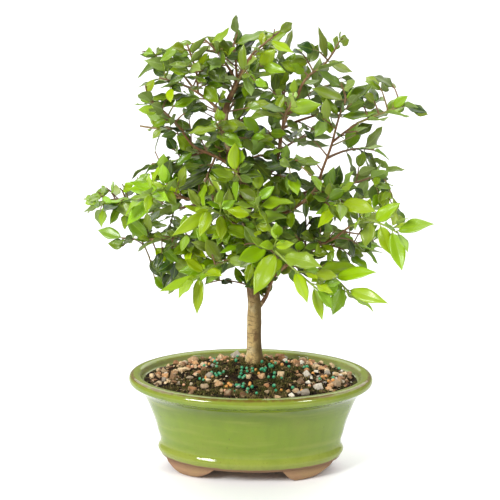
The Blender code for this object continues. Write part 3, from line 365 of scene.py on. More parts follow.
def front_view(point):
    """Where the front view shows this point: across and down."""
    away = point - VIEW_AIM
    reach = VIEW_SCALE / (VIEW_DISTANCE - away.dot(VIEW_BACK))
    return VIEW_CENTRE[0] + reach * away.dot(VIEW_RIGHT), VIEW_CENTRE[1] - reach * away.dot(VIEW_UP)


def linear(code):
    """An sRGB hex colour as linear red, green and blue."""
    parts = [int(code[i : i + 2], 16) / 255 for i in (1, 3, 5)]
    return tuple(c / 12.92 if c <= 0.04045 else ((c + 0.055) / 1.055) ** 2.4 for c in parts)


def colour_setting(name, description, code):
    return FloatVectorProperty(name=name, description=description, subtype="COLOR", size=3, min=0.0, max=1.0,
                               default=linear(code))


def length_setting(name, description, millimetres):
    return FloatProperty(name=name, description=description, subtype="DISTANCE", unit="LENGTH", min=0.0,
                         default=millimetres * MM)


def power_setting(name, description, watts):
    return FloatProperty(name=name, description=description, unit="POWER", min=0.0, default=watts)


def count_setting(name, description, count):
    return IntProperty(name=name, description=description, min=0, default=count)


class PotSettings(bpy.types.PropertyGroup):
    glaze_body: colour_setting("Glaze on the wall", "Yellow-green glaze over the lower wall", "#748A1E")
    # This darker green is partly thinner glaze near the lip and partly painted shade under the lip's overhang
    glaze_dark_and_shade: colour_setting("Glaze under the lip", "Thinner, greener glaze near the lip", "#576A19")
    glaze_thick: colour_setting("Pooled glaze", "Brighter glaze where it pools on the lip", "#7E8B2B")
    glaze_ridge: colour_setting("Glaze on the ridge", "Thick glaze on the ridge above the feet", "#8B9638")
    glaze_break: colour_setting("Glaze on edges", "Brown clay seen through thin glaze on an edge", "#6F5C26")
    clay: colour_setting("Bare clay", "Fired clay of the feet and the base", "#A88860")
    clay_red: colour_setting("Flashed clay", "Pinkish clay where the kiln's flame marked it", "#A57E62")
    glaze_end: length_setting("Glaze line", "Height at which the glaze stops", 13.6)


class SoilSettings(bpy.types.PropertyGroup):
    earth: colour_setting("Earth", "Damp dark compost", "#150D06")
    earth_dry: colour_setting("Dry crumbs", "Compost crumbs that have dried", "#3D2C1B")
    moss: colour_setting("Moss", "Olive moss", "#575824")
    moss_old: colour_setting("Old moss", "Browned moss and dead shoots", "#745F36")
    bead_green: colour_setting("Green beads", "Coated fertiliser beads", "#1F9A6A")
    bead_orange: colour_setting("Orange beads", "Coated fertiliser beads", "#E39B42")
    bead_peach: colour_setting("Peach beads", "Faded fertiliser beads", "#DFA078")
    bead_size: length_setting("Bead diameter", "Diameter of one fertiliser bead", 2.95)
    gravel_count: count_setting("Small gravel", "How many small stones lie on the soil", 270)
    crumb_count: count_setting("Crumbs", "How many compost crumbs lie on the soil", 2600)
    moss_count: count_setting("Moss shoots", "How many moss shoots are grown", 6500)
    screen: colour_setting("Drain screen", "Black woven plastic over the drain holes", "#1C1C1C")


class WoodSettings(bpy.types.PropertyGroup):
    bark: colour_setting("Trunk bark", "Smooth tan bark of the trunk", "#D2B376")
    bark_pale: colour_setting("Fresh bark", "Pale patches where old bark has flaked off", "#DBC695")
    # This brown is partly the branches' own bark and partly painted shade of the crown on the upper trunk and
    # branches
    brown_bark_and_shade: colour_setting("Old bark", "Brown bark of the upper trunk and the branches", "#6B4B2E")
    twig: colour_setting("Twig", "Brown young wood", "#7C5532")


class LeafSettings(bpy.types.PropertyGroup):
    old: colour_setting("Oldest leaves", "Dark green of leaves deep in the crown", "#2B3F14")
    mature: colour_setting("Mature leaves", "Green of the outer leaves", "#798F32")
    fresh: colour_setting("Fresh leaves", "Yellow-green of half-grown leaves", "#8BA22D")
    lime: colour_setting("New leaves", "Lime green of new leaves", "#8AA71E")
    underside: colour_setting("Leaf underside", "Pale matte underside", "#8A9B5E")
    stem: colour_setting("Green stem", "Stem of this year's shoots", "#8AA03C")
    stem_red: colour_setting("Ripe stem", "Brown stem of older twigs", "#7E6040")
    thickness: length_setting("Blade thickness", "Thickness of a leaf's blade", 0.32)
    vein_step: length_setting("Vein spacing", "Distance between a leaf's side veins", 1.9)


class StageSettings(bpy.types.PropertyGroup):
    floor: colour_setting("Floor", "Plain white floor", "#F7F7F7")
    room: FloatProperty(name="Room light", description="Strength of the light from all round", default=0.40)
    key: power_setting("Key light", "Power of the large window on the left", 24.0)
    fill: power_setting("Fill light", "Power of the small window on the right", 10.0)
    far: power_setting("Far light", "Power of the wide light over the floor behind", 165.0)


def spline(points, per_span):
    """A smooth curve through rows of numbers, with this many steps from each row to the next."""
    rows = np.asarray(points, float)
    padded = np.vstack([2 * rows[0] - rows[1], rows, 2 * rows[-1] - rows[-2]])
    made = []
    for i in range(len(rows) - 1):
        a, b, c, d = padded[i : i + 4]
        for t in np.arange(per_span) / per_span:
            made.append(0.5 * (2 * b + (c - a) * t + (2 * a - 5 * b + 4 * c - d) * t * t
                               + (3 * b - a - 3 * c + d) * t * t * t))
    made.append(rows[-1])
    return np.array(made)


class Gathered:
    """Points, faces and fields of one mesh that is put together from many bodies."""

    def __init__(self):
        self.points, self.faces, self.slots, self.fields = [], [], [], {}
        self.count = 0

    def add(self, points, faces, slots=0, **fields):
        points = np.asarray(points, float).reshape(-1, 3)
        base = self.count
        self.points.append(points)
        self.faces.extend([tuple(base + i for i in face) for face in faces])
        self.slots.extend([slots] * len(faces) if isinstance(slots, int) else slots)
        for key, value in fields.items():
            held = self.fields.setdefault(key, [])
            width = 3 if key in VECTOR_FIELDS else 1
            held.append(np.broadcast_to(np.asarray(value, float).reshape(-1, width), (len(points), width)))
        self.count += len(points)

    def build(self, name, materials, sharp=40.0):
        return mesh_object(name, np.vstack(self.points), self.faces, materials, self.slots,
                           {k: np.vstack(v) for k, v in self.fields.items()}, sharp)


VECTOR_FIELDS = ("blade_place",)


def set_field(mesh, key, values):
    width = 3 if key in VECTOR_FIELDS else 1
    kind, name = ("FLOAT_VECTOR", "vector") if width == 3 else ("FLOAT", "value")
    made = mesh.attributes.new(key, kind, "POINT")
    made.data.foreach_set(name, np.asarray(values, np.float32).ravel())


def mesh_object(name, points, faces, materials=(), slots=None, fields=None, sharp=40.0):
    """A new object from points in millimetres. Edges that bend more than sharp degrees stay crisp."""
    mesh = bpy.data.meshes.new(name)
    mesh.from_pydata((np.asarray([tuple(p) for p in points], float) * MM).tolist(), [], faces)
    for made in materials:
        mesh.materials.append(made)
    if slots is not None:
        mesh.polygons.foreach_set("material_index", np.asarray(slots, np.int32))
    for key, values in (fields or {}).items():
        set_field(mesh, key, values)
    mesh.polygons.foreach_set("use_smooth", np.ones(len(mesh.polygons), bool))
    mesh.set_sharp_from_angle(angle=math.radians(sharp))
    mesh.update()
    obj = bpy.data.objects.new(name, mesh)
    bpy.context.scene.collection.objects.link(obj)
    return obj


def boolean(obj, operation, others, solver="EXACT"):
    """Joins or cuts with every object of others at once, applies it and removes them."""
    held = bpy.data.collections.new(obj.name + "_others")
    for other in others:
        held.objects.link(other)
    modifier = obj.modifiers.new(operation.lower(), "BOOLEAN")
    modifier.operation = operation
    modifier.operand_type = "COLLECTION"
    modifier.collection = held
    modifier.solver = solver
    graph = bpy.context.evaluated_depsgraph_get()
    graph.update()
    result = bpy.data.meshes.new_from_object(obj.evaluated_get(graph))
    obj.modifiers.remove(modifier)
    old, materials = obj.data, list(obj.data.materials)
    obj.data = result
    bpy.data.meshes.remove(old)
    result.materials.clear()
    for made in materials:
        result.materials.append(made)
    for other in others:
        bpy.data.objects.remove(other, do_unlink=True)
    bpy.data.collections.remove(held)


def points_of(obj):
    """The object's points in millimetres."""
    found = np.empty(len(obj.data.vertices) * 3)
    obj.data.vertices.foreach_get("co", found)
    return found.reshape(-1, 3) / MM


def oval(inset, height):
    """The rim's oval drawn in by an equal inset all round."""
    angle = np.arange(POT_SIDES) * 2 * np.pi / POT_SIDES
    c, s = np.cos(angle), np.sin(angle)
    out = np.stack([c / RIM_A, s / RIM_B], 1)
    out /= np.linalg.norm(out, axis=1, keepdims=True)
    x, y = RIM_A * c - inset * out[:, 0], RIM_B * s - inset * out[:, 1]
    return np.stack([x, y, np.full(POT_SIDES, float(height))], 1)


def loft(rings):
    """Points and faces of a closed body through rings of equal count, with flat ends."""
    count = len(rings[0])
    points = [p for ring in rings for p in ring]
    faces = []
    for level in range(len(rings) - 1):
        low, high = level * count, (level + 1) * count
        for i in range(count):
            j = (i + 1) % count
            faces.append((low + i, low + j, high + j, high + i))
    faces.append(tuple(range(count - 1, -1, -1)))
    last = (len(rings) - 1) * count
    faces.append(tuple(range(last, last + count)))
    return points, faces


def loft_outward(shape):
    """The same shape with every face turned to point out."""
    points, faces = shape
    mesh = bmesh.new()
    made = [mesh.verts.new(p) for p in points]
    for face in faces:
        mesh.faces.new([made[i] for i in face])
    bmesh.ops.recalc_face_normals(mesh, faces=mesh.faces)
    if mesh.calc_volume(signed=True) < 0:
        bmesh.ops.reverse_faces(mesh, faces=mesh.faces)
    mesh.verts.index_update()
    facing_out = [tuple(v.index for v in face.verts) for face in mesh.faces]
    mesh.free()
    return points, facing_out


def cylinder(centre, radius, low, high, sides):
    angle = np.arange(sides) * 2 * np.pi / sides
    x, y = centre[0] + radius * np.cos(angle), centre[1] + radius * np.sin(angle)
    return loft([np.stack([x, y, np.full(sides, float(z))], 1) for z in (low, high)])


def wall_inset(z):
    """How far the pot's inner wall lies in from the rim at this height."""
    for (d0, z0), (d1, z1) in zip(POT_INSIDE, POT_INSIDE[1:]):
        if z1 <= z <= z0:
            return d0 + (d1 - d0) * (z0 - z) / (z0 - z1)
    return POT_INSIDE[0][0] if z > POT_INSIDE[0][1] else POT_INSIDE[-1][0]


def rim_inset(points):
    """How far each point lies in from the rim's oval, seen from above."""
    angle = np.linspace(0, 2 * np.pi, 1441)
    edge = np.stack([RIM_A * np.cos(angle), RIM_B * np.sin(angle)], 1)
    return np.array([np.hypot(*(edge - p[:2]).T).min() for p in points])


def frames(path):
    """A direction, a level crosswise vector and one square to both at each station of a path, untwisted."""
    made = []
    side = None
    for i in range(len(path)):
        ahead = path[min(i + 1, len(path) - 1)] - path[max(i - 1, 0)]
        ahead.normalize()
        if side is None:
            level = Vector((0.0, 0.05, 1.0)) if abs(ahead.z) < 0.95 else Vector((0.0, 1.0, 0.0))
            side = ahead.cross(level).normalized()
        side = (side - ahead * side.dot(ahead)).normalized()
        made.append((ahead, side, ahead.cross(side)))
    return made


def tube(path, radii, sides):
    rings = []
    for p, radius, (_, side, other) in zip(path, radii, frames(path)):
        ring = []
        for i in range(sides):
            angle = 2 * math.pi * (i + 0.5) / sides
            ring.append(p + side * (radius * math.cos(angle)) + other * (radius * math.sin(angle)))
        rings.append(ring)
    return loft(rings)


def along(path, share):
    """The point at this share of the path's length, and the direction there."""
    lengths = [(b - a).length for a, b in zip(path, path[1:])]
    left = share * sum(lengths)
    for a, b, length in zip(path, path[1:], lengths):
        if left <= length:
            return a.lerp(b, left / length), (b - a).normalized()
        left -= length
    return path[-1].copy(), (path[-1] - path[-2]).normalized()


def path_length(path):
    return sum((b - a).length for a, b in zip(path, path[1:]))


def frame_at(path, share):
    """The crosswise vectors of the nearest station at this share of the path."""
    stations = frames(path)
    return stations[min(len(path) - 1, int(share * (len(path) - 1) + 0.5))]


def nearest_share(path, point):
    """The share of the path's length at which it passes nearest this point."""
    return min(((along(path, i / 200)[0] - point).length, i / 200) for i in range(201))[1]


def nearest_station(path, point):
    return min(range(len(path)), key=lambda i: (path[i] - point).length)


def cut_path(path, start, end, stations):
    return [along(path, start + (end - start) * i / (stations - 1))[0] for i in range(stations)]


def trunk_path():
    path = [viewed(u, v, y) for u, v, y, _ in TRUNK]
    radii = [r for *_, r in TRUNK]
    low = [Vector((*TRUNK_AT, z)) for z in (TRUNK_HOLE_FLOOR + 0.4, 80.0, 92.0, 98.0)]
    return low + path, [6.0, 7.0, 7.1, 5.9] + radii


# Outline of a blade: share of its length, and side as a share of its half width
BLADE = ((0.30, -0.80), (0.62, -0.88), (1.0, 0.0), (0.62, 0.88), (0.30, 0.80))
BLADE_MIDDLE = 0.46


def blade_rows(start, tip, width, across, thick, fold, arch, wave):
    """The upper and lower points of a folded, arched blade: its outline and then its middle."""
    ahead = tip - start
    length = ahead.length
    ahead.normalize()
    up = across.cross(ahead)
    half = 0.5 * width
    rows = []
    for level in (0.5 * thick, -0.5 * thick):
        row = []
        for share, side in BLADE + ((BLADE_MIDDLE, 0.0),):
            rise = arch * length * 4 * share * (1 - share) + fold * half * abs(side) + wave * half * side
            row.append(start + ahead * (share * length) + across * (half * side) + up * (rise + level))
        rows.append(row)
    return rows


def blade_faces(upper, lower, root_upper, root_lower):
    """Faces of a blade on its root of two points above and two below. Both sides are split alike."""
    faces = []
    ring_up = [root_upper[0]] + upper[:-1] + [root_upper[1]]
    ring_low = [root_lower[0]] + lower[:-1] + [root_lower[1]]
    for i, j in zip(range(len(ring_up)), list(range(1, len(ring_up))) + [0]):
        faces.append((ring_up[i], ring_up[j], upper[-1]))
        faces.append((ring_low[j], ring_low[i], lower[-1]))
        if j:
            faces.append((ring_up[i], ring_low[i], ring_low[j]))
            faces.append((ring_up[i], ring_low[j], ring_up[j]))
    return faces


def probe_blade(leaf, root, thick):
    """A plain closed blade to test for room, from this share of its length on."""
    start, tip, width, across, fold, arch, wave = leaf
    rows = blade_rows(start, tip, width, across, thick, fold, arch, wave)
    ahead = tip - start
    up = across.cross(ahead).normalized()
    near = start + ahead * root
    near = near + up * (arch * ahead.length * 4 * root * (1 - root))
    points = rows[0] + rows[1]
    count = len(rows[0])
    for way in (-1, 1):
        for level in (0.5, -0.5):
            points.append(near + across * (way * 0.5) + up * (level * thick))
    upper = list(range(count))
    lower = list(range(count, 2 * count))
    n = 2 * count
    faces = blade_faces(upper, lower, (n, n + 2), (n + 1, n + 3))
    faces.append((n, n + 2, n + 3, n + 1))
    return points, faces


class Space:
    """What already stands in the crown, so that nothing new crosses it."""

    def __init__(self):
        self.held = []

    def add(self, owner, shape):
        points, faces = shape
        low = Vector([min(p[i] for p in points) for i in range(3)])
        high = Vector([max(p[i] for p in points) for i in range(3)])
        self.held.append((owner, low, high, BVHTree.FromPolygons(points, faces)))

    def free(self, shape, but=()):
        points, faces = shape
        low = [min(p[i] for p in points) for i in range(3)]
        high = [max(p[i] for p in points) for i in range(3)]
        tree = None
        for owner, a, b, other in self.held:
            if owner in but:
                continue
            if any(low[i] > b[i] or high[i] < a[i] for i in range(3)):
                continue
            tree = tree or BVHTree.FromPolygons(points, faces)
            if tree.overlap(other):
                return False
        return True


def grow_twig(space, path, rng):
    """The twig of a spray, moved a little where it would cross other wood."""
    for attempt in range(40):
        tried = [p.copy() for p in path]
        for i in range(1, len(tried)):
            reach = 0.35 * attempt * i / len(tried)
            tried[i] += jitter(rng, reach)
        count = len(tried)
        radii = [TWIG_START + (TWIG_END - TWIG_START) * i / (count - 1) for i in range(count)]
        if space.free(tube(tried, [r + TWIG_ROOM for r in radii], 4)):
            return tried, radii
    return None, None


def in_crown(point):
    """Whether a leaf's tip here stays within the crown's outline and depth."""
    across, down = front_view(point)
    left = between(CROWN_SIDES, down, 1)
    right = between(CROWN_SIDES, down, 2)
    if not left <= across <= right or down < CROWN_SIDES[0][0] or down > between(CROWN_UNDER, across, 1):
        return False
    deep = CROWN_DEPTH * min(1.0, 0.45 + 0.55 * (right - left) / 300)
    return abs(point.y) < deep


def between(table, at, column):
    """A value read from a table between its rows."""
    if at <= table[0][0]:
        return table[0][column]
    for a, b in zip(table, table[1:]):
        if at <= b[0]:
            return a[column] + (b[column] - a[column]) * (at - a[0]) / (b[0] - a[0])
    return table[-1][column]


def twig_half(share):
    """Half the width of a twig's square section at this share of its length."""
    return (TWIG_START + (TWIG_END - TWIG_START) * share) * math.sqrt(0.5)


def crown_facing(point, rng):
    """Leaves turn their faces up and out of the crown."""
    out = Vector((point.x - TRUNK_AT[0], point.y - TRUNK_AT[1], 0.0))
    out = out.normalized() if out.length > 1.0 else Vector((0.0, -1.0, 0.0))
    return out * 0.75 + Vector((rng.uniform(-0.45, 0.45), rng.uniform(-0.45, 0.45), rng.uniform(0.35, 0.95)))


def twig_sides(frame):
    """The four flat sides of a twig: top, left, bottom and right."""
    _, side, other = frame
    return (other, -side, -other, side)


def turned(lengthwise, heading, want, most, stray):
    """The crosswise vector of a leaf on this heading. It turns to face the wanted way, up to the most that
    it may turn, and a little astray."""
    across = (lengthwise - heading * heading.dot(lengthwise)).normalized()
    up = across.cross(heading)
    if up.dot(want) < 0:
        want = -want
    flat = want - heading * want.dot(heading)
    turn = math.atan2(flat.dot(-across), flat.dot(up)) if flat.length > 0.2 else 0.0
    return Matrix.Rotation(stray - max(-most, min(most, turn)), 3, heading) @ across


def place_leaf(space, name, spot, frame, face, share, aim, length, width, facing, rng, tries=12, loose=1.0,
               free=False):
    """A leaf from one flat side of the twig. Where it would cross anything it is bent clear, or left out."""
    ahead = frame[0]
    outward = twig_sides(frame)[face] if face < 4 else ahead
    lengthwise = ahead if face < 4 else frame[1]
    start = spot + outward * (twig_half(share) if face < 4 else 0.0)
    for attempt in range(tries):
        heading = (aim + jitter(rng, loose * 0.09 * attempt)).normalized()
        if heading.dot(outward) < 0.42:
            heading = (heading + outward * (0.55 - heading.dot(outward))).normalized()
        size = 1.0 - 0.016 * attempt * loose
        tip = start + heading * (length * size)
        if not free and not in_crown(tip):
            continue
        across = turned(lengthwise, heading, facing.normalized(), 0.9, -rng.uniform(-0.2, 0.2))
        fold = rng.uniform(0.10, 0.28) * (1 if across.cross(heading).z > 0 else -1)
        leaf = (start, tip, width * size, across, fold, rng.uniform(-0.03, 0.07), rng.uniform(-0.12, 0.12))
        wider = (start, tip + heading * 0.5, width * size * 1.06) + leaf[3:]
        own = (name, name + "_twig")
        if (space.free(probe_blade(wider, 0.17, TEST_THICK))
                and space.free(probe_blade(wider, 0.02, 1.3), but=own)):
            space.add(name, probe_blade(leaf, 0.03, BLADE_THICK))
            return leaf
    return None


def spray_leaves(space, name, path, young, rng):
    """Sockets along a twig, each with its share of the length, the twig's side and the leaf on it."""
    sockets = []
    total = path_length(path)
    gap = (SOCKET + 0.5) / total
    big = [leaf for leaf in LARGE_LEAVES if leaf[0] == name]
    for _, start, tip, depth, width in big:
        aim_at = viewed(tip[0], tip[1], depth)
        share = min(0.96, max(0.04, nearest_share(path, viewed(start[0], start[1], depth + 14))))
        frame = frame_at(path, share)
        spot, _ = along(path, share)
        heading = aim_at - spot
        sides = sorted(range(4), key=lambda k: -twig_sides(frame)[k].dot(heading))
        for face in sides[:2]:
            place = share
            while place > 0.05 and any(abs(place - s) < gap and (abs(place - s) > 1e-6 or f == face)
                                       for s, f, _ in sockets):
                place -= 0.4 * gap
            spot, _ = along(path, place)
            heading = aim_at - spot
            facing = Vector((rng.uniform(-0.3, 0.3), -0.8, 0.75))
            leaf = place_leaf(space, name, spot, frame_at(path, place), face, place, heading.normalized(),
                              heading.length, width, facing, rng, tries=16, loose=0.3, free=True)
            if leaf:
                sockets.append((place, face, leaf))
                break
    count = max(2, int(total / PAIR_STEP + 0.6))
    for i in range(count):
        share = (i + 0.5) / (count + 0.35)
        if big and (share > 0.5 or i % 2):
            continue
        if any(abs(share - s) < 1.3 * gap for s, _, _ in sockets):
            continue
        spot, ahead = along(path, share)
        frame = frame_at(path, share)
        pair = (0, 2) if rng.random() < 0.25 else (3, 1)
        for face in pair:
            outward = twig_sides(frame)[face]
            length = rng.uniform(*LEAF_LENGTHS) * (1.08 if young else 1.0)
            aim = outward * rng.uniform(0.75, 1.2) + ahead * rng.uniform(0.45, 0.95)
            aim += Vector((0, 0, rng.uniform(-0.45, 0.15)))
            facing = crown_facing(spot, rng)
            width = length * rng.uniform(0.37, 0.47)
            leaf = place_leaf(space, name, spot, frame, face, share, aim.normalized(), length, width, facing,
                              rng)
            if leaf:
                sockets.append((share, face, leaf))
    length = rng.uniform(*END_LEAF_LENGTHS)
    aim = (path[-1] - path[-2]).normalized()
    aim += Vector((rng.uniform(-0.3, 0.3), rng.uniform(-0.3, 0.3), rng.uniform(-0.4, 0.1)))
    leaf = place_leaf(space, name, path[-1], frame_at(path, 1.0), 4, 1.0, aim.normalized(), length,
                      length * 0.42, crown_facing(path[-1], rng), rng)
    return sockets, leaf


def foot_rings(centre):
    """A bracket foot that follows the oval: flat on the ground, round outside and swept up at both ends."""
    lifts = FOOT_LIFTS[::-1] if 90 < centre < 180 or centre > 270 else FOOT_LIFTS
    rings = []
    for share in np.linspace(-1.0, 1.0, 41):
        lift = float(np.interp(share, FOOT_SHARES, lifts))
        lift = 0.5 * lift + 0.25 * sum(float(np.interp(share + d, FOOT_SHARES, lifts)) for d in (-0.06, 0.06))
        angle = math.radians(centre + share * FOOT_HALF_ANGLE)
        c, s = math.cos(angle), math.sin(angle)
        out = Vector((c / RIM_A, s / RIM_B)).normalized()
        drop = max(0.0, FOOT_HEIGHT - lift)
        section = (
            (27.6, FOOT_TOP), (42.5, FOOT_TOP), (42.0 - 0.1 * drop, lift + 0.5 * drop),
            (41.5 - 0.2 * drop, lift + 0.12 * drop), (40.6 - 0.2 * drop, lift), (29.3 + 0.3 * drop, lift),
            (28.2 + 0.3 * drop, lift + 0.06 * drop),
            (27.5 + 0.24 * drop, lift + 0.2 * drop), (27.2 + 0.13 * drop, lift + 0.42 * drop),
            (27.1 + 0.05 * drop, lift + 0.68 * drop), (27.2, lift + drop * 0.9 + 0.1 * (FOOT_TOP - lift)),
        )
        rings.append([(RIM_A * c - inset * out.x, RIM_B * s - inset * out.y, z) for inset, z in section])
    return rings


def wall_insets(heights):
    """The inner wall's insets at many heights."""
    levels = POT_INSIDE[::-1]
    return np.interp(heights, [z for _, z in levels], [inset for inset, _ in levels])


def build_pot(settings):
    profile = np.vstack([spline(POT_OUTSIDE, 3)[:-1], spline(POT_INSIDE, 4)])
    rings = [oval(inset, z) for inset, z in profile] + [oval(37.3, 17.0), oval(40.0, POT_FLOOR)]
    pot = mesh_object("glazed_pot", *loft(rings))
    feet = [mesh_object("foot", *loft_outward(loft(foot_rings(c)))) for c in FOOT_CENTRES]
    boolean(pot, "UNION", feet)
    drains = [mesh_object("drain", *cylinder((x, 0.0), DRAIN_RADIUS, 2.0, 22.0, 40)) for x in DRAIN_AT]
    boolean(pot, "DIFFERENCE", drains)
    points = points_of(pot)
    inset, z = rim_inset(points), points[:, 2]
    edge = 0.7 * np.exp(-(((inset - 2.6) / 2.0) ** 2)) * (z > 81.0)
    edge = np.maximum(edge, 0.5 * np.exp(-(((inset - 10.2) / 1.1) ** 2)) * (z > 79.0))
    edge = np.maximum(edge, 0.14 * np.exp(-(((z - 75.2) / 2.2) ** 2)) * (inset < 4.0))
    set_field(pot.data, "thin_glaze", edge)
    set_field(pot.data, "inner_wall", np.clip((inset - 9.0) / 2.0, 0, 1) * (z > 70.0))
    set_field(pot.data, "inside_well", ((z < 72.0) & (inset > wall_insets(z) - 1.5)).astype(float))
    pot.data.materials.append(stoneware_material(settings))
    pot.data.polygons.foreach_set("use_smooth", np.ones(len(pot.data.polygons), bool))
    pot.data.set_sharp_from_angle(angle=math.radians(38))
    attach(pot, "root")
    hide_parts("pot")


def from_trunk(x, y):
    """How far out this place is from the trunk: 0 there and 1 near the wall."""
    out = (x - TRUNK_AT[0]) / (RIM_A - MOUND_MARGIN), (y - TRUNK_AT[1]) / (RIM_B - MOUND_MARGIN)
    return min(1.0, math.hypot(*out))


def soil_height(x, y):
    """Smooth height of the soil's top: a mound round the trunk that falls to the wall."""
    return SOIL_AT_WALL + SOIL_MOUND * (1 - from_trunk(x, y)) ** 1.25


def fine_height(x, y):
    """Height of the fine soil's top, which stands a little higher at the wall than the plain solid."""
    away = from_trunk(x, y)
    return soil_height(x, y) + (FINE_EDGE - SOIL_AT_WALL) * away * away


def rough_height(x, y):
    """Height of the soil with its lumps."""
    lumps = 1.1 * noise.noise((x / 9.0, y / 9.0, 3.1)) + 0.75 * noise.noise((x / 3.4, y / 3.4, 8.7))
    lumps += 0.5 * noise.noise((x / 1.5, y / 1.5, 1.9))
    return fine_height(x, y) + lumps


def on_soil(across, down):
    """The point of the soil's top that the front view shows here."""
    depth = 0.0
    for _ in range(30):
        point = viewed(across, down, depth)
        miss = point.z - fine_height(point.x, point.y)
        depth += miss / math.tan(VIEW_ELEVATION) * 0.6
    return point.x, point.y


def stone(rng, centre, size):
    """The corners of an angular stone: a block with its corners moved, flattened and turned at random."""
    mesh = bmesh.new()
    bmesh.ops.create_cube(mesh, size=0.72 * size)
    flat = Vector((1.0, rng.uniform(0.7, 0.95), rng.uniform(0.6, 0.85)))
    turn = (Matrix.Rotation(rng.uniform(0, 6.28), 3, "Z") @ Matrix.Rotation(rng.uniform(-0.7, 0.7), 3, "X")
            @ Matrix.Rotation(rng.uniform(-0.6, 0.6), 3, "Y"))
    points = []
    for v in mesh.verts:
        p = v.co * rng.uniform(0.74, 1.1)
        points.append(centre + turn @ Vector((p.x * flat.x, p.y * flat.y, p.z * flat.z)))
    mesh.free()
    return points


def stone_places():
    """Where the large stones lie: crowded at both ends and along the back, few in the middle."""
    rng = random.Random(SEED_OF["stones"])
    placed = []
    tries = 0
    while len(placed) < STONES and tries < 9000:
        tries += 1
        x = rng.uniform(-84, 84)
        y = rng.uniform(-52, 52)
        size = rng.uniform(5.4, 9.8)
        share = math.hypot(x / (RIM_A - STONE_MARGIN - 0.5 * size), y / (RIM_B - STONE_MARGIN - 0.5 * size))
        if share > 0.97:
            continue
        crowd = 0.12 + 0.95 * max(0.0, abs(x + 4) / 80 - 0.25) + 0.75 * max(0.0, y / 50 - 0.3)
        if rng.random() > crowd:
            continue
        if math.hypot(x - TRUNK_AT[0], y - TRUNK_AT[1]) < TRUNK_HOLE_RADIUS + 0.62 * size:
            continue
        if any(math.hypot(x - a, y - b) < 0.47 * (size + other) for a, b, other in placed):
            continue
        placed.append((x, y, size))
    return placed


def rounded_stone(corners, rng, more=7, bevel=0.045):
    """An angular stone through these corners and a few between them, with worn edges and a pitted skin."""
    mesh = bmesh.new()
    middle = sum(corners, Vector()) / len(corners)
    reach = sum((p - middle).length for p in corners) / len(corners)
    for p in corners:
        mesh.verts.new(p)
    for _ in range(more):
        way = Vector([rng.gauss(0, 1) for _ in range(3)]).normalized()
        mesh.verts.new(middle + way * (reach * rng.uniform(0.72, 0.98)))
    hull = bmesh.ops.convex_hull(mesh, input=mesh.verts)
    extra = [g for g in hull["geom_interior"] + hull["geom_unused"] if isinstance(g, bmesh.types.BMVert)]
    bmesh.ops.delete(mesh, geom=list(set(extra)), context="VERTS")
    size = max((a - b).length for a in corners for b in corners)
    if bevel:
        bmesh.ops.bevel(mesh, geom=mesh.edges[:], offset=bevel * size * 0.5, segments=1, profile=0.6,
                        affect="EDGES", clamp_overlap=True)
    bmesh.ops.triangulate(mesh, faces=mesh.faces)
    shift = Vector([rng.uniform(0, 90) for _ in range(3)])
    for v in mesh.verts:
        v.co += v.normal * (0.05 * size * noise.noise(v.co * (4.4 / size) + shift))
    mesh.verts.index_update()
    points = [v.co.copy() for v in mesh.verts]
    faces = [[v.index for v in f.verts] for f in mesh.faces]
    mesh.free()
    # Triangulation orders its faces anew in each run, so each starts at its lowest corner and all are sorted
    return points, sorted(tuple(f[f.index(min(f)) :] + f[: f.index(min(f))]) for f in faces)


def free_corners(rng, centre, size):
    """Corners of a small chip of stone of any shape and turn."""
    turn = Matrix.Rotation(rng.uniform(0, 6.28), 3, "Z") @ Matrix.Rotation(rng.uniform(-0.9, 0.9), 3, "X")
    stretch = Vector((1.1, rng.uniform(0.5, 0.95), rng.uniform(CHIP_HEIGHT - 0.2, CHIP_HEIGHT + 0.2)))
    points = []
    for _ in range(5):
        way = Vector([rng.gauss(0, 1) for _ in range(3)]).normalized() * (0.58 * size)
        points.append(centre + turn @ Vector(a * b for a, b in zip(way, stretch)))
    for k in range(4):
        angle = 1.571 * k + rng.uniform(-0.5, 0.5)
        way = Vector((math.cos(angle), math.sin(angle), rng.uniform(-0.5, 0.5))) * (0.5 * size)
        points.append(centre + turn @ Vector(a * b for a, b in zip(way, stretch)))
    return points


# Large stones that the front view shows apart: across, down, size, tone
SHOWN_STONES = (
    (230, 353, 9.0, 0.86), (212, 354, 6.5, 0.34), (241, 354.5, 6.0, 0.40), (171, 365, 7.0, 0.12),
    (155.5, 366, 5.0, 0.62), (164, 373, 6.0, 0.55), (193, 362, 9.0, 0.45), (203, 361, 6.0, 0.30),
    (186, 371, 7.5, 0.66), (218, 387.5, 7.5, 0.42), (209, 382, 6.0, 0.74), (174.5, 384, 6.0, 0.24),
    (191, 386, 5.0, 0.80), (267, 393.5, 6.0, 0.56), (287.5, 392.5, 5.5, 0.36), (238.5, 388.5, 4.5, 0.90),
    (286, 357, 8.0, 0.20), (271, 353, 7.0, 0.34), (322, 371, 7.0, 0.36), (350, 367.5, 8.0, 0.58),
    (349, 375.5, 6.0, 0.30), (339, 383.5, 7.0, 0.46), (331, 364, 5.5, 0.68), (316, 373, 4.5, 0.94),
    (298, 354, 4.5, 0.88), (145, 377, 5.0, 0.50), (148, 371, 4.0, 0.66), (166, 379, 4.0, 0.40),
    (199, 375, 4.5, 0.25), (356, 379, 4.5, 0.30),
)


STONE_PLACES = stone_places()


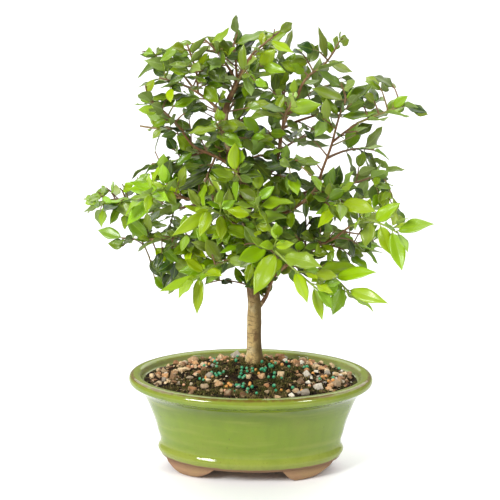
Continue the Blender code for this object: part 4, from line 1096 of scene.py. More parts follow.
def soil_surface():
    """The soil's body: rough top, hole for the trunk, and the pot's inner form below."""
    low = [oval(40.5, POT_FLOOR + FIT_GAP + SCREEN_THICK + 0.6)]
    for inset, z in POT_INSIDE[::-1]:
        if POT_FLOOR + 4 < z < SOIL_AT_WALL - 1:
            low.append(oval(inset + FIT_GAP, z))
    edge = oval(wall_inset(FINE_EDGE) + FIT_GAP, FINE_EDGE)
    angle = np.arange(POT_SIDES) * 2 * np.pi / POT_SIDES
    hole = np.array(TRUNK_AT) + TRUNK_HOLE_RADIUS * np.stack([np.cos(angle), np.sin(angle)], 1)
    rings = low + [edge]
    for share in np.linspace(0, 1, 58)[1:]:
        flat = edge[:, :2] * (1 - share) + hole * share
        rings.append(np.array([(x, y, rough_height(x, y)) for x, y in flat]))
    top = rings[-1].copy()
    for z in (78.0, TRUNK_HOLE_FLOOR):
        ring = top.copy()
        ring[:, 2] = z
        rings.append(ring)
    return loft(rings)


def build_soil(settings):
    """The soil with the large stones that lie in it."""
    made = Gathered()
    points, faces = soil_surface()
    made.add(points, faces, tone=0.0)
    rng = random.Random(SEED_OF["soil"])
    # The plain solid draws this many numbers for its lumps first, and the stones' corners have to match it
    for _ in range(4 * SOLID_SIDES):
        rng.uniform(-0.9, 0.9)
    wear = random.Random(SEED_OF["wear"])
    for x, y, size in STONE_PLACES:
        corners = stone(rng, Vector((x, y, fine_height(x, y) + 0.08 * size)), size)
        made.add(*rounded_stone(corners, wear), 1, tone=wear.random())
    soil = made.build("gravelly_soil", [earth_material(settings), gravel_material()], sharp=32)
    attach(soil, "root")
    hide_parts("soil")


def toward_wall(x, y, room):
    """How far out this place is: 1 where this much room is left to the wall."""
    return math.hypot(x / (RIM_A - WALL_MARGIN - room), y / (RIM_B - WALL_MARGIN - room))


def inside_pot(x, y, room):
    return toward_wall(x, y, room) < 1.0


def near_trunk(x, y, room):
    return math.hypot(x - TRUNK_AT[0], y - TRUNK_AT[1]) < TRUNK_HOLE_RADIUS + room


def bareness(x, y):
    """Where gravel shows: at both ends and along the back; 1 there, and 0 in the mossy front middle."""
    ends = max(0.0, abs(x + 2) / 86 - 0.34) * 1.5
    back = max(0.0, y / 54 - 0.35) * 1.2
    front = max(0.0, -y / 54 - 0.1) * 1.1
    return min(1.0, max(0.0, ends + back - front))


def build_gravel(settings):
    """Small stones and compost crumbs that lie on the soil."""
    rng = random.Random(SEED_OF["gravel"])
    made = Gathered()
    for across, down, size, tone in SHOWN_STONES:
        x, y = on_soil(across, down)
        if not inside_pot(x, y, 0.3 * size):
            pull = 0.97 / toward_wall(x, y, 0.3 * size)
            x, y = x * pull, y * pull
        centre = Vector((x, y, fine_height(x, y) + 0.30 * size))
        made.add(*rounded_stone(free_corners(rng, centre, size), rng), tone=tone)
    placed = 0
    while placed < settings.gravel_count:
        x, y, size = rng.uniform(-90, 90), rng.uniform(-56, 56), 1.6 + 5.4 * rng.random() ** 1.6
        if not inside_pot(x, y, 0.5 * size) or near_trunk(x, y, 0.6 * size):
            continue
        if rng.random() > 0.05 + bareness(x, y):
            continue
        centre = Vector((x, y, rough_height(x, y) + 0.18 * size))
        made.add(*rounded_stone(free_corners(rng, centre, size), rng), tone=rng.random())
        placed += 1
    gravel = made.build("small_gravel", [gravel_material()], sharp=32)
    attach(gravel, "root")
    crumbs = Gathered()
    placed = 0
    while placed < settings.crumb_count:
        x, y, size = rng.uniform(-90, 90), rng.uniform(-56, 56), rng.uniform(*CRUMB_SIZES)
        if not inside_pot(x, y, 0.4 * size) or near_trunk(x, y, 0.3):
            continue
        centre = Vector((x, y, rough_height(x, y) + 0.15 * size))
        grain = rounded_stone(free_corners(rng, centre, size), rng, more=0, bevel=0.0)
        crumbs.add(*grain, tone=rng.random() ** 1.5 if rng.random() > 0.08 else 1.0)
        placed += 1
    made_of = crumbs.build("compost_crumbs", [crumb_material(settings)], sharp=60)
    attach(made_of, "root")


def shoot(root, heading, length, width, bend):
    """One closed tapering moss shoot of three sides."""
    side = heading.orthogonal().normalized()
    other = heading.cross(side)
    rings = []
    for share, wide in ((0.0, 0.55), (0.45, 1.0), (0.8, 0.6)):
        middle = root + heading * (length * share) + bend * (share * share * length)
        reach = 0.5 * width * wide
        rings.append([middle + side * (reach * math.cos(angle)) + other * (reach * math.sin(angle))
                      for angle in (0.0, 2.0944, 4.1888)])
    tip = root + heading * length + bend * length
    points = [p for ring in rings for p in ring] + [tip]
    faces = [(2, 1, 0)]
    for low in (0, 3):
        for k in range(3):
            j = (k + 1) % 3
            faces.append((low + k, low + j, low + j + 3, low + k + 3))
    faces += [(6 + k, 6 + (k + 1) % 3, 9) for k in range(3)]
    return points, faces


def build_moss(settings):
    """Tufts of moss over the middle and the front, and thin dead fibres."""
    rng = random.Random(SEED_OF["moss"])
    made = Gathered()
    tufts = []
    while len(tufts) < MOSS_TUFTS:
        x, y = rng.uniform(-82, 84), rng.uniform(-54, 46)
        here = 0.62 - 0.55 * bareness(x, y) + 0.5 * noise.noise((x / 16.0, y / 16.0, 4.4))
        if inside_pot(x, y, 2.0) and not near_trunk(x, y, -1.5) and rng.random() < here:
            tufts.append((x, y, rng.uniform(2.0, 5.5), rng.random()))
    # Browned moss creeps up to the foot of the trunk
    for k in range(CREEPING_TUFTS):
        turn, away = 0.2856 * k, TRUNK_HOLE_RADIUS + rng.uniform(-0.5, 3.0)
        x, y = TRUNK_AT[0] + away * math.cos(turn), TRUNK_AT[1] + away * math.sin(turn)
        tufts.append((x, y, 3.0, rng.uniform(0.5, 1.0)))
    for k in range(settings.moss_count):
        a, b, reach, age = tufts[k % len(tufts)]
        turn, away = rng.uniform(0, FULL_TURN), reach * math.sqrt(rng.random())
        x, y = a + away * math.cos(turn), b + away * math.sin(turn)
        if not inside_pot(x, y, 0.6) or near_trunk(x, y, -2.0):
            continue
        heading = Vector((0.7 * math.cos(turn) * away / reach + rng.uniform(-0.5, 0.5),
                          0.7 * math.sin(turn) * away / reach + rng.uniform(-0.5, 0.5), 1.0)).normalized()
        dome = 1.4 * (1 - (away / reach) ** 2)
        root = Vector((x, y, rough_height(x, y) - 0.5 + dome))
        bend = jitter(rng, 0.35)
        tone = min(1.0, max(0.0, 0.8 * age + rng.uniform(-0.2, 0.45)))
        made.add(*shoot(root, heading, rng.uniform(1.2, 2.9), rng.uniform(0.32, 0.6), bend), tone=tone)
    for _ in range(DEAD_FIBRES):
        x, y = rng.uniform(-84, 84), rng.uniform(-54, 50)
        if not inside_pot(x, y, 5.0) or near_trunk(x, y, 1.0):
            continue
        turn = rng.uniform(0, FULL_TURN)
        heading = Vector((math.cos(turn), math.sin(turn), rng.uniform(-0.05, 0.25))).normalized()
        root = Vector((x, y, rough_height(x, y) + 0.9))
        bend = jitter(rng, 0.2)
        fibre = shoot(root, heading, rng.uniform(4.0, 9.0), rng.uniform(0.25, 0.45), bend)
        made.add(*fibre, tone=rng.uniform(0.85, 1.0))
    moss = made.build("moss", [moss_material(settings)], sharp=180)
    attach(moss, "root")


def ball(centre, radius, rng):
    """A slightly uneven bead."""
    mesh = bmesh.new()
    bmesh.ops.create_icosphere(mesh, subdivisions=2, radius=radius)
    squeeze = Vector([rng.uniform(0.93, 1.05) for _ in range(3)])
    points = [centre + Vector(a * b for a, b in zip(v.co, squeeze)) for v in mesh.verts]
    faces = [tuple(v.index for v in f.verts) for f in mesh.faces]
    mesh.free()
    return points, faces


# Beads in a closer crop of the front view; across and down are the place in it over the crop's scale
BEAD_CROP = (120.0, 330.0, 6.03)
GREEN_BEADS = (
    (572, 184), (508, 222), (587, 209), (583, 234), (553, 266), (575, 272), (597, 270), (626, 258),
    (604, 276), (583, 285), (482, 298), (504, 305), (736, 237), (733, 254), (765, 239), (768, 255),
    (798, 241), (800, 255), (730, 270), (722, 292), (751, 290), (741, 300), (755, 284), (855, 204),
    (858, 245), (878, 241), (849, 246), (871, 254), (902, 223), (918, 232), (905, 230), (937, 209),
    (932, 270), (928, 292), (896, 290), (974, 299), (1110, 232), (1320, 241), (1203, 308), (1018, 228),
    (620, 335), (745, 333), (741, 352), (702, 345), (796, 352), (770, 366), (824, 388), (663, 374),
    (690, 375), (929, 348), (939, 374), (1041, 356), (1115, 378), (1285, 296), (767, 388), (717, 347),
)
ORANGE_BEADS = (
    (520, 290), (516, 300), (545, 285), (559, 291), (656, 335), (669, 346), (640, 350), (784, 327),
    (783, 339), (819, 251), (837, 269), (923, 208), (946, 209), (914, 195), (972, 371), (1096, 378),
    (1241, 292), (1257, 314), (1220, 290), (1285, 313), (977, 219), (1127, 248), (1163, 271),
)
PEACH_BEADS = (
    (437, 236), (480, 232), (452, 279), (385, 340), (1162, 178), (1142, 350), (1410, 260), (633, 376),
)


def build_beads(settings):
    """Coated fertiliser beads where the front view shows them, and a few more on the far side."""
    rng = random.Random(SEED_OF["beads"])
    made = Gathered()
    radius = 0.5 * settings.bead_size / MM
    held = []
    for tone, places in ((0.0, GREEN_BEADS), (0.5, ORANGE_BEADS), (1.0, PEACH_BEADS)):
        for u, v in places:
            held.append((*on_soil(BEAD_CROP[0] + u / BEAD_CROP[2], BEAD_CROP[1] + v / BEAD_CROP[2]), tone))
    for _ in range(FAR_BEADS):
        held.append((rng.uniform(-60, 60), rng.uniform(14, 44), rng.choice((0.0, 0.0, 0.5, 1.0))))
    for x, y, tone in held:
        size = radius * rng.uniform(0.86, 1.1)
        if not inside_pot(x, y, 0.5 * size) or near_trunk(x, y, 0.2):
            continue
        high = max(rough_height(x + a, y + b) for a, b in ((0, 0), (0.8, 0), (-0.8, 0), (0, 0.8), (0, -0.8)))
        made.add(*ball(Vector((x, y, high + 0.78 * size)), size, rng), tone=tone)
    beads = made.build("fertiliser_beads", [bead_material(settings)], sharp=180)
    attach(beads, "root")


def build_screens(settings):
    """Woven plastic over each drain hole: strands both ways within a round edge."""
    step, radius, width = 1.5, SCREEN_RADIUS, 0.62
    middle = POT_FLOOR + 0.3 + 0.5 * SCREEN_THICK
    for name, node, x in zip(("woven_screen_left", "woven_screen_right"),
                             ("drain_screen_left", "drain_screen_right"), DRAIN_AT):
        made = Gathered()
        for way in (0, 1):
            for k in range(-7, 8):
                half = math.sqrt(max(0.0, (radius - 0.5) ** 2 - (k * step) ** 2))
                path = []
                for i in range(33):
                    run = half * (2 * i / 32 - 1)
                    weave = 0.28 * math.cos(math.pi * (run / step + k + way))
                    spot = (run, k * step) if way else (k * step, run)
                    path.append(Vector((x + spot[0], spot[1], middle + weave)))
                if half > 2:
                    made.add(*loft_outward(tube(path, [0.5 * width] * 33, 6)))
        ring = []
        for k in range(48):
            angle = 2 * math.pi * k / 48
            c, s = math.cos(angle), math.sin(angle)
            ring.append([Vector((x + (radius + d) * c, (radius + d) * s, middle + h))
                         for d, h in ((-0.9, -0.6), (0.0, -0.6), (0.0, 0.6), (-0.9, 0.6))])
        points = [p for section in ring for p in section]
        faces = [(4 * i + k, 4 * ((i + 1) % 48) + k, 4 * ((i + 1) % 48) + (k + 1) % 4, 4 * i + (k + 1) % 4)
                 for i in range(48) for k in range(4)]
        made.add(*loft_outward((points, faces)))
        screen = made.build(name, [screen_material(settings)])
        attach(screen, "root")
        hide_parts(node)


@functools.lru_cache(maxsize=None)
def grow_tree():
    """Wood, twigs and leaves of the whole tree, and then the finer shoots that fill its crown."""
    space = Space()
    paths = {}
    wood = []
    path, radii = trunk_path()
    paths["trunk"] = (path, radii)
    shape = loft_outward(tube(path, radii, 7))
    space.add("wood", shape)
    wood.append(("trunk", path, radii))
    twigs = []
    for name, (parent, r0, r1, share, stations) in BRANCHES.items():
        full = [viewed(*s) for s in stations]
        parent_path = paths[parent][0]
        full[0] = along(parent_path, nearest_share(parent_path, full[0]))[0]
        count = max(3, int(round((len(full) - 1) * share)) + 1)
        woody = cut_path(full, 0.0, share, count)
        radii = [r0 + (r1 - r0) * i / (count - 1) for i in range(count)]
        paths[name] = (woody, radii)
        space.add("wood", loft_outward(tube(woody, radii, 5 if r0 > 1.3 else 4)))
        wood.append((name, woody, radii))
        if share == 1.0:
            continue
        left = path_length(full) * (1 - share)
        twigs.append((name, cut_path(full, share, 1.0, 3 if left < 30 else 4)))
    for index, (parent, share, heading, length) in enumerate(SIDE_SPRAYS):
        path, radii = paths[parent]
        spot, ahead = along(path, share)
        out = Vector((heading[0], heading[2], -heading[1])).normalized()
        out = (out - ahead * out.dot(ahead) * 0.6).normalized()
        start = spot + out * (0.94 * radii[nearest_station(path, spot)])
        droop = Vector((0, 0, 0.12 * length))
        middle = start + out * (0.5 * length) + droop * 0.5
        twigs.append((f"inner_{index + 1}", [start, middle, start + out * length + droop]))
    grown = []
    for index, (name, path) in enumerate(twigs):
        rng = random.Random(SEEDS.get(name, 100 + index))
        path[0] = path[0] + (path[1] - path[0]).normalized() * SEAT_GAP
        tried, radii = grow_twig(space, path, rng)
        if tried:
            space.add(name + "_twig", loft_outward(tube(tried, radii, 4)))
            grown.append([name, tried, rng])
    sprays = []
    for name, path, rng in sorted(grown, key=lambda item: item[0] not in YOUNG):
        young = name in YOUNG
        sockets, end_leaf = spray_leaves(space, name, path, young, rng)
        leaves = [leaf for _, _, leaf in sockets] + ([end_leaf] if end_leaf else [])
        title = ("young_shoot_" if young else "leafy_spray_") + name
        sprays.append({"node": title, "name": name, "young": young, "path": path, "leaves": leaves,
                       "side_shoots": []})
    rng = random.Random(SEED_OF["twiglets"])
    shoots = []
    lines = [(path, 1.0) for _, path, _ in wood] + [(spray["path"], 0.97) for spray in sprays]
    for tip in FILL_TIPS:
        made = reaching_shoot(space, lines, viewed(*tip), rng)
        if made:
            shoots.append(made)
    for spray in sprays:
        fill_spray(space, spray, rng)
    for name, path, radii in wood:
        shoots += wood_shoots(space, name, path, radii, rng)
    return wood, sprays, shoots


def reaching_shoot(space, lines, tip, rng):
    """A twiglet from the nearest wood to this tip, with pairs of leaves along its outer part."""
    best = (1e9, None)
    for path, top in lines:
        for i in range(25):
            spot, _ = along(path, top * i / 24)
            # Wood that lies above the tip counts as further off
            cost = (spot - tip).length + 0.4 * max(0.0, spot.z - tip.z)
            best = min(best, (cost, spot), key=lambda item: item[0])
    start = best[1]
    reach = (tip - start).length
    if reach > LONGEST_REACH:
        return None
    rise = Vector((0, 0, 0.10 * reach))
    path = [start, start.lerp(tip, 0.33) + rise * 0.8, start.lerp(tip, 0.66) + rise, tip]
    owner = f"reach_{rng.random():.9f}"
    leaves = []
    count = max(1, int(reach / FINE_PAIR_STEP))
    for i in range(count):
        share = 1 - (i + 0.45) * FINE_PAIR_STEP / max(reach, FINE_PAIR_STEP)
        if share < 0.18 and i:
            break
        spot, ahead = along(path, max(0.1, share))
        frame = frame_at(path, max(0.1, share))
        for face in ((0, 2) if i % 2 else (3, 1)):
            outward = twig_sides(frame)[face]
            aim = outward * rng.uniform(0.75, 1.1) + ahead * rng.uniform(0.5, 0.95)
            aim += Vector((0, 0, rng.uniform(-0.4, 0.1)))
            length = rng.uniform(*REACHING_LEAF_LENGTHS)
            leaf = fine_leaf(space, owner, spot, frame, face, aim.normalized(), length, rng)
            if leaf:
                leaves.append(leaf)
    tip_aim = (path[-1] - path[-2]).normalized() + jitter(rng, 0.3)
    length = rng.uniform(*REACHING_END_LENGTHS)
    leaf = fine_leaf(space, owner, path[-1], frame_at(path, 1.0), 4, tip_aim.normalized(), length, rng)
    if leaf:
        leaves.append(leaf)
    return (path, leaves) if leaves else None


def side_shoot(space, name, start, out, length, count, size, rng):
    """A fine twiglet with pairs of leaves and one at its tip, or None where there is no room."""
    droop = Vector((rng.uniform(-0.15, 0.15), rng.uniform(-0.15, 0.15), rng.uniform(-0.2, 0.15))) * length
    path = [start, start + out * (0.5 * length) + droop * 0.3, start + out * length + droop]
    clear = [start + out * 1.5] + path[1:]
    if not space.free(tube(clear, [0.75] * 3, 4), but=(name,)) or not in_crown(path[-1]):
        return None
    owner = f"{name}_{rng.random():.9f}"
    leaves = []
    for i in range(count):
        share = (i + 0.6) / (count + 0.25)
        spot, ahead = along(path, share)
        frame = frame_at(path, share)
        for face in ((0, 2) if i % 2 else (3, 1)):
            outward = twig_sides(frame)[face]
            reach = rng.uniform(0.85, 1.1) * size
            aim = outward * rng.uniform(0.75, 1.1) + ahead * rng.uniform(0.5, 0.95)
            aim += Vector((0, 0, rng.uniform(-0.35, 0.15)))
            leaf = fine_leaf(space, owner, spot, frame, face, aim.normalized(), reach, rng)
            if leaf:
                leaves.append(leaf)
    tip_aim = (path[-1] - path[-2]).normalized() + jitter(rng, 0.3)
    leaf = fine_leaf(space, owner, path[-1], frame_at(path, 1.0), 4, tip_aim.normalized(), size, rng)
    if leaf:
        leaves.append(leaf)
    if not leaves:
        return None
    space.add(owner, loft_outward(tube(clear, [0.5, 0.45, 0.4], 4)))
    return path, leaves


def kept_clear(point):
    """Whether this point hides wood or a gap that the front view shows."""
    across, down = front_view(point)
    return any(abs(across - u) < r and abs(down - v) < r and math.hypot(across - u, down - v) < r
               for u, v, r in CLEAR_SPOTS)


def leaf_facing(point, rng):
    """Small leaves turn up, and towards the open side of the crown that they stand on."""
    open_side = -0.8 if point.y < TRUNK_AT[1] else 0.8
    away = max(-1.0, min(1.0, (point.x - TRUNK_AT[0]) / 110))
    facing = Vector((0.45 * away + rng.uniform(-0.35, 0.35), open_side + rng.uniform(-0.3, 0.3),
                     rng.uniform(0.35, 0.95)))
    return facing.normalized()


def fine_leaf(space, owner, spot, frame, face, aim, length, rng):
    """A leaf of a twiglet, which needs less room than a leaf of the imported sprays."""
    for attempt in range(7):
        outward = twig_sides(frame)[face] if face < 4 else frame[0]
        heading = (aim + jitter(rng, 0.13 * attempt)).normalized()
        if heading.dot(outward) < 0.3:
            heading = (heading + outward * 0.5).normalized()
        tip = spot + heading * (length * (1 - 0.03 * attempt))
        if not in_crown(tip) or any(kept_clear(spot.lerp(tip, share)) for share in (0.3, 0.6, 1.0)):
            continue
        lengthwise = frame[0] if face < 4 else frame[1]
        across = turned(lengthwise, heading, leaf_facing(spot, rng), 1.1, rng.uniform(-0.2, 0.2))
        fold = rng.uniform(0.08, 0.24) * (1 if across.cross(heading).z > 0 else -1)
        width = length * rng.uniform(0.42, 0.60)
        leaf = (spot, tip, width, across, fold, rng.uniform(-0.03, 0.07), rng.uniform(-0.12, 0.12))
        if space.free(probe_blade(leaf, 0.2, BLADE_THICK)):
            space.add(owner, probe_blade(leaf, 0.05, 0.5))
            return leaf
    return None


def fill_spray(space, spray, rng):
    """Twiglets from both sides of a spray's twig, and small leaves beside the large ones."""
    path = spray["path"]
    total = path_length(path)
    count = max(2, int(total / SPRAY_TWIGLET_STEP))
    for i in range(count):
        share = (i + 0.55) / count
        spot, ahead = along(path, min(share, 0.97))
        frame = frame_at(path, share)
        for _ in range(2):
            turn = rng.uniform(0, FULL_TURN)
            outward = frame[1] * math.cos(turn) + frame[2] * math.sin(turn)
            out = (outward * rng.uniform(0.7, 1.0) + ahead * rng.uniform(0.4, 0.9)).normalized()
            made = side_shoot(space, spray["name"] + "_twig", spot, out, rng.uniform(*SPRAY_TWIGLET_LENGTHS),
                              rng.choice((1, 1, 2)), rng.uniform(*SPRAY_TWIGLET_LEAVES), rng)
            if made:
                spray["side_shoots"].append(made)
                break


def wood_shoots(space, name, path, radii, rng):
    """Short leafy twiglets that grow straight from the branches, high and low in the crown."""
    found = []
    total = path_length(path)
    lowest = 0.42 if name == "trunk" else 0.12
    count = int(total / WOOD_TWIGLET_STEP)
    for i in range(count):
        share = lowest + (1 - lowest) * (i + rng.random()) / count
        if share > 0.98:
            continue
        spot, ahead = along(path, share)
        frame = frame_at(path, share)
        turn = rng.uniform(0, FULL_TURN)
        outward = frame[1] * math.cos(turn) + frame[2] * math.sin(turn)
        if outward.z < -0.5:
            continue
        start = spot + outward * (0.6 * radii[nearest_station(path, spot)])
        out = (outward + ahead * rng.uniform(0.2, 0.8)).normalized()
        made = side_shoot(space, "wood", start, out, rng.uniform(*WOOD_TWIGLET_LENGTHS),
                          rng.choice((1, 2, 2)), rng.uniform(*WOOD_TWIGLET_LEAVES), rng)
        if made:
            found.append(made)
    return found


def smooth_tube(path, radii, sides, uneven=0.0):
    """A tube along a smooth curve through the stations, with its skin uneven by this much."""
    rows = spline([(*p, r) for p, r in zip(path, radii)], 4)
    middle = [Vector(row[:3]) for row in rows]
    points, faces = tube(middle, [float(row[3]) for row in rows], sides)
    if uneven:
        for i, p in enumerate(points):
            centre = middle[i // sides]
            away = p - centre
            swell = uneven * noise.noise(p * 0.16) + 0.4 * uneven * noise.noise(p * 0.6)
            points[i] = p + away.normalized() * swell
    return loft_outward((points, faces))


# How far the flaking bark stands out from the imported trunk
BARK_THICK = 0.7


def build_trunk(settings):
    """Trunk, branches and stubs as one body. It keeps the nearest wood's radius for the bark's colour."""
    wood, _, _ = grow_tree()
    limbs = []
    axis = []
    for name, path, radii in wood:
        thick = max(radii)
        if name == "trunk":
            radii = [r + BARK_THICK * min(1.0, i / 2) for i, r in enumerate(radii)]
        rows = spline([(*p, r) for p, r in zip(path, radii)], 3)
        axis += [(Vector(row[:3]), float(row[3])) for row in rows]
        sides = 16 if name == "trunk" else 10 if thick > 1.6 else 8
        shape = smooth_tube(path, radii, sides, uneven=0.045 * thick)
        limbs.append(mesh_object("trunk_body" if name == "trunk" else "limb", *shape))
    for across, down, lean in ((227, 25, -3.0), (206, 32, -5.0)):
        start = nearest_wood(axis, viewed(across, down, 4.0))
        end = start + (viewed(across + lean, down - 6, 4.0) - start).normalized() * 7.0
        if (end - start).length < 12:
            stub = smooth_tube([start, (start + end) / 2, end], [1.1, 1.0, 0.9], 8)
            limbs.append(mesh_object("limb", *stub))
    trunk = limbs[0]
    trunk.name = "trunk_and_branches"
    boolean(trunk, "UNION", limbs[1:], solver="MANIFOLD")
    tree = KDTree(len(axis))
    for i, (p, _) in enumerate(axis):
        tree.insert(p, i)
    tree.balance()
    points = points_of(trunk)
    # Of the nearest stations, the one whose own skin passes nearest
    skin = [min(((abs(away - axis[i][1]), i) for _, i, away in tree.find_n(p, 14)))[1] for p in points]
    set_field(trunk.data, "axis_radius", [axis[i][1] for i in skin])
    # How far to the right of its axis each point lies, for the painted shade on the trunk's right side
    set_field(trunk.data, "shaded_side", [(p[0] - axis[i][0].x) / axis[i][1] for p, i in zip(points, skin)])
    trunk.data.materials.append(bark_material(settings))
    trunk.data.polygons.foreach_set("use_smooth", np.ones(len(trunk.data.polygons), bool))
    trunk.data.set_sharp_from_angle(angle=math.radians(60))
    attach(trunk, "root")
    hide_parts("trunk")


def nearest_wood(axis, point):
    return min(axis, key=lambda item: (item[0] - point).length)[0]


# Half width of a blade along its length: share of the length, share of the half width
BLADE_OUTLINE = (
    (0.05, 0.05), (0.12, 0.42), (0.22, 0.74), (0.34, 0.95), (0.46, 1.0), (0.58, 0.94), (0.70, 0.76),
    (0.80, 0.53), (0.88, 0.31), (0.94, 0.15), (0.98, 0.055), (1.0, 0.02),
)
BLADE_COLUMNS = (-1.0, -0.66, -0.3, 0.0, 0.3, 0.66, 1.0)


def fine_blade(made, leaf, age, rng, thick, petiole_back):
    """A closed, folded and rippled blade on a round leaf stalk."""
    start, tip, width, across, fold, arch, wave = leaf
    ahead = tip - start
    length = ahead.length
    ahead.normalize()
    up = across.cross(ahead)
    half = 0.5 * width
    tag = rng.random()
    face = 1.0 if up.dot(sunny_side(start)) > 0 else -1.0
    ripple, phase, pace = rng.uniform(0.02, 0.07), rng.uniform(0, 6.3), rng.uniform(8, 14)
    droop = rng.uniform(0.0, 0.09) * length
    curl = rng.uniform(-0.10, 0.06) * length
    slots, points, place = [], [], []
    for level in (0.5, -0.5):
        for share, wide in BLADE_OUTLINE:
            for side in BLADE_COLUMNS:
                out = side * wide
                edge = abs(side) ** 2
                rise = arch * length * 4 * share * (1 - share) + fold * half * abs(out) + wave * half * out
                along_edge = pace * share + phase + (1.9 if side > 0 else 0)
                rise += ripple * half * 4 * edge * wide * math.sin(along_edge)
                rise -= droop * max(0.0, share - 0.55) ** 2 * 4
                rise -= face * 0.10 * half * math.exp(-((out / 0.13) ** 2)) * (1 - share)
                slack = thick * (1 - 0.55 * abs(side)) * level
                body = start + ahead * (share * length) + across * (half * out + curl * (share - 0.5) ** 2)
                points.append(body + up * (rise + slack))
                place.append((share, out * half / length, tag))
    rows, columns = len(BLADE_OUTLINE), len(BLADE_COLUMNS)
    faces = []
    layer = rows * columns
    for i in range(rows - 1):
        for j in range(columns - 1):
            a, b = i * columns + j, i * columns + j + 1
            c, d = b + columns, a + columns
            faces.append((a, b, c, d))
            slots.append(0 if face > 0 else 1)
            faces.append((layer + a, layer + d, layer + c, layer + b))
            slots.append(1 if face > 0 else 0)
    rim = list(range(columns)) + [i * columns + columns - 1 for i in range(1, rows)]
    rim += [(rows - 1) * columns + j for j in range(columns - 2, -1, -1)]
    rim += [i * columns for i in range(rows - 2, 0, -1)]
    for k, a in enumerate(rim):
        b = rim[(k + 1) % len(rim)]
        faces.append((b, a, layer + a, layer + b))
        slots.append(0)
    made.add(points, faces, slots, blade_place=place, age=age)
    low = start - ahead * petiole_back
    middle = (points[3] + points[layer + 3]) / 2
    end = (points[10] + points[layer + 10]) / 2 + ahead * 0.5
    stalk = loft_outward(tube([low, middle, end], [0.52, 0.46, 0.26], 6))
    made.add(*stalk, 2, blade_place=(0.0, 0.0, tag), age=max(age, 0.35))


def sunny_side(point):
    """The way that a leaf's glossy side looks here: up and out of the crown."""
    out = Vector((point.x - TRUNK_AT[0], 1.6 * (point.y - 22.0), 0.0))
    return out.normalized() * 0.8 + Vector((0.0, 0.0, 0.6))


def leaf_age(middle, young, rng):
    """0 for an old dark leaf and 1 for a new lime one."""
    if young:
        return rng.uniform(0.8, 1.0)
    across, down = front_view(middle)
    if middle.y < 12:
        for u, v, reach in BRIGHT_SPOTS:
            if math.hypot(across - u, down - v) < reach:
                return rng.uniform(0.75, 1.0) if down > 130 else rng.uniform(0.42, 0.8)
    away = middle - Vector((TRUNK_AT[0], 0.0, CROWN_MIDDLE))
    outer = Vector([a / b for a, b in zip(away, CROWN_HALF)]).length
    age = 0.12 + 0.34 * max(0.0, outer - 0.35) + rng.gauss(0, 0.15)
    if rng.random() < 0.06:
        age += 0.3
    return min(0.95, max(0.0, age))


def spray_mesh(name, twigs, settings, rng, young):
    """One piece for a spray: its twigs as round tubes and all its leaves."""
    made = Gathered()
    thick = settings.thickness / MM
    for path, radii, back, leaves in twigs:
        shape = smooth_tube(path, radii, 6)
        tag = rng.random()
        made.add(*shape, 2, blade_place=(0.0, 0.0, tag), age=0.9 if young else rng.uniform(0.0, 0.45))
        for leaf in leaves:
            middle = leaf[0].lerp(leaf[1], 0.5)
            fine_blade(made, leaf, leaf_age(middle, young, rng), rng, thick, back)
    return made.build(name, leaf_materials(settings), sharp=180)


def build_sprays(settings):
    """Each packed spray again with fine leaves, and the twiglets that fill it."""
    _, sprays, _ = grow_tree()
    rng = random.Random(SEED_OF["sprays"])
    for spray in sprays:
        path = [p.copy() for p in spray["path"]]
        ahead = (path[1] - path[0]).normalized()
        path[0] = path[0] - ahead * (SEAT_GAP + 0.5)
        count = len(path)
        radii = [1.0 - 0.22 * i / (count - 1) for i in range(count)]
        twigs = [(path, radii, 0.5, spray["leaves"])]
        for shoot_path, leaves in spray["side_shoots"]:
            twigs.append((shoot_path, [0.62, 0.55, 0.48], 0.3, leaves))
        title = ("young_shoot_leaves_" if spray["young"] else "fine_spray_") + spray["name"]
        piece = spray_mesh(title, twigs, settings, rng, spray["young"])
        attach(piece, "root")
        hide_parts(spray["node"])


def build_shoots(settings):
    """Twiglets with leaves that grow straight from the branches."""
    _, _, shoots = grow_tree()
    rng = random.Random(SEED_OF["shoots"])
    share = 3
    for part in range(share):
        twigs = []
        for path, leaves in shoots[part::share]:
            count = len(path)
            twigs.append((path, [0.75 - 0.27 * i / (count - 1) for i in range(count)], 0.3, leaves))
        if twigs:
            piece = spray_mesh(f"branch_twiglets_{part + 1}", twigs, settings, rng, False)
            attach(piece, "root")


def add(tree, kind, inputs=(), out=0, stops=None, **settings):
    """A node with its settings, its values or links by socket, in order or by name, and the stops of a ramp.
    It gives one of the node's outputs."""
    node = tree.nodes.new("ShaderNode" + kind)
    for key, value in settings.items():
        setattr(node, key, value)
    for socket, value in inputs.items() if isinstance(inputs, dict) else enumerate(inputs):
        held = node.inputs[socket]
        if isinstance(value, bpy.types.NodeSocket):
            tree.links.new(value, held)
        else:
            held.default_value = (*value, 1.0) if held.type == "RGBA" else value
    if stops:
        ramp = node.color_ramp
        while len(ramp.elements) < len(stops):
            ramp.elements.new(1.0)
        for element, (at, colour) in zip(ramp.elements, stops):
            element.position = at
            element.color = (*colour, 1.0)
    return node.outputs[out]


def new_material(name):
    """A new material, and the function that adds a node to it."""
    made = bpy.data.materials.new(name)
    made.use_nodes = True
    return made, functools.partial(add, made.node_tree)


def in_millimetres(node):
    """The surface's coordinates in millimetres, so a pattern's scale is one over its features' size."""
    return node("VectorMath", {0: node("TexCoord", out=3), 3: 1 / MM}, operation="SCALE")


def layered(node, colour, *layers):
    """A colour with others over it. A layer is its colour and its share, or its colour, a pattern, the two
    values of the pattern between which it comes in, and its share from there on."""
    for other, share, *span in layers:
        if span:
            low, high, most = span
            share = node("MapRange", (share, low, high, 0.0, most))
        colour = node("Mix", {0: share, 6: colour, 7: other}, 2, data_type="RGBA")
    return colour


def swing(node, pattern, amount):
    """A pattern moved to swing about 0, over this amount in all."""
    centred = node("Math", (pattern, 0.5), operation="SUBTRACT")
    return node("Math", (centred, amount), operation="MULTIPLY")


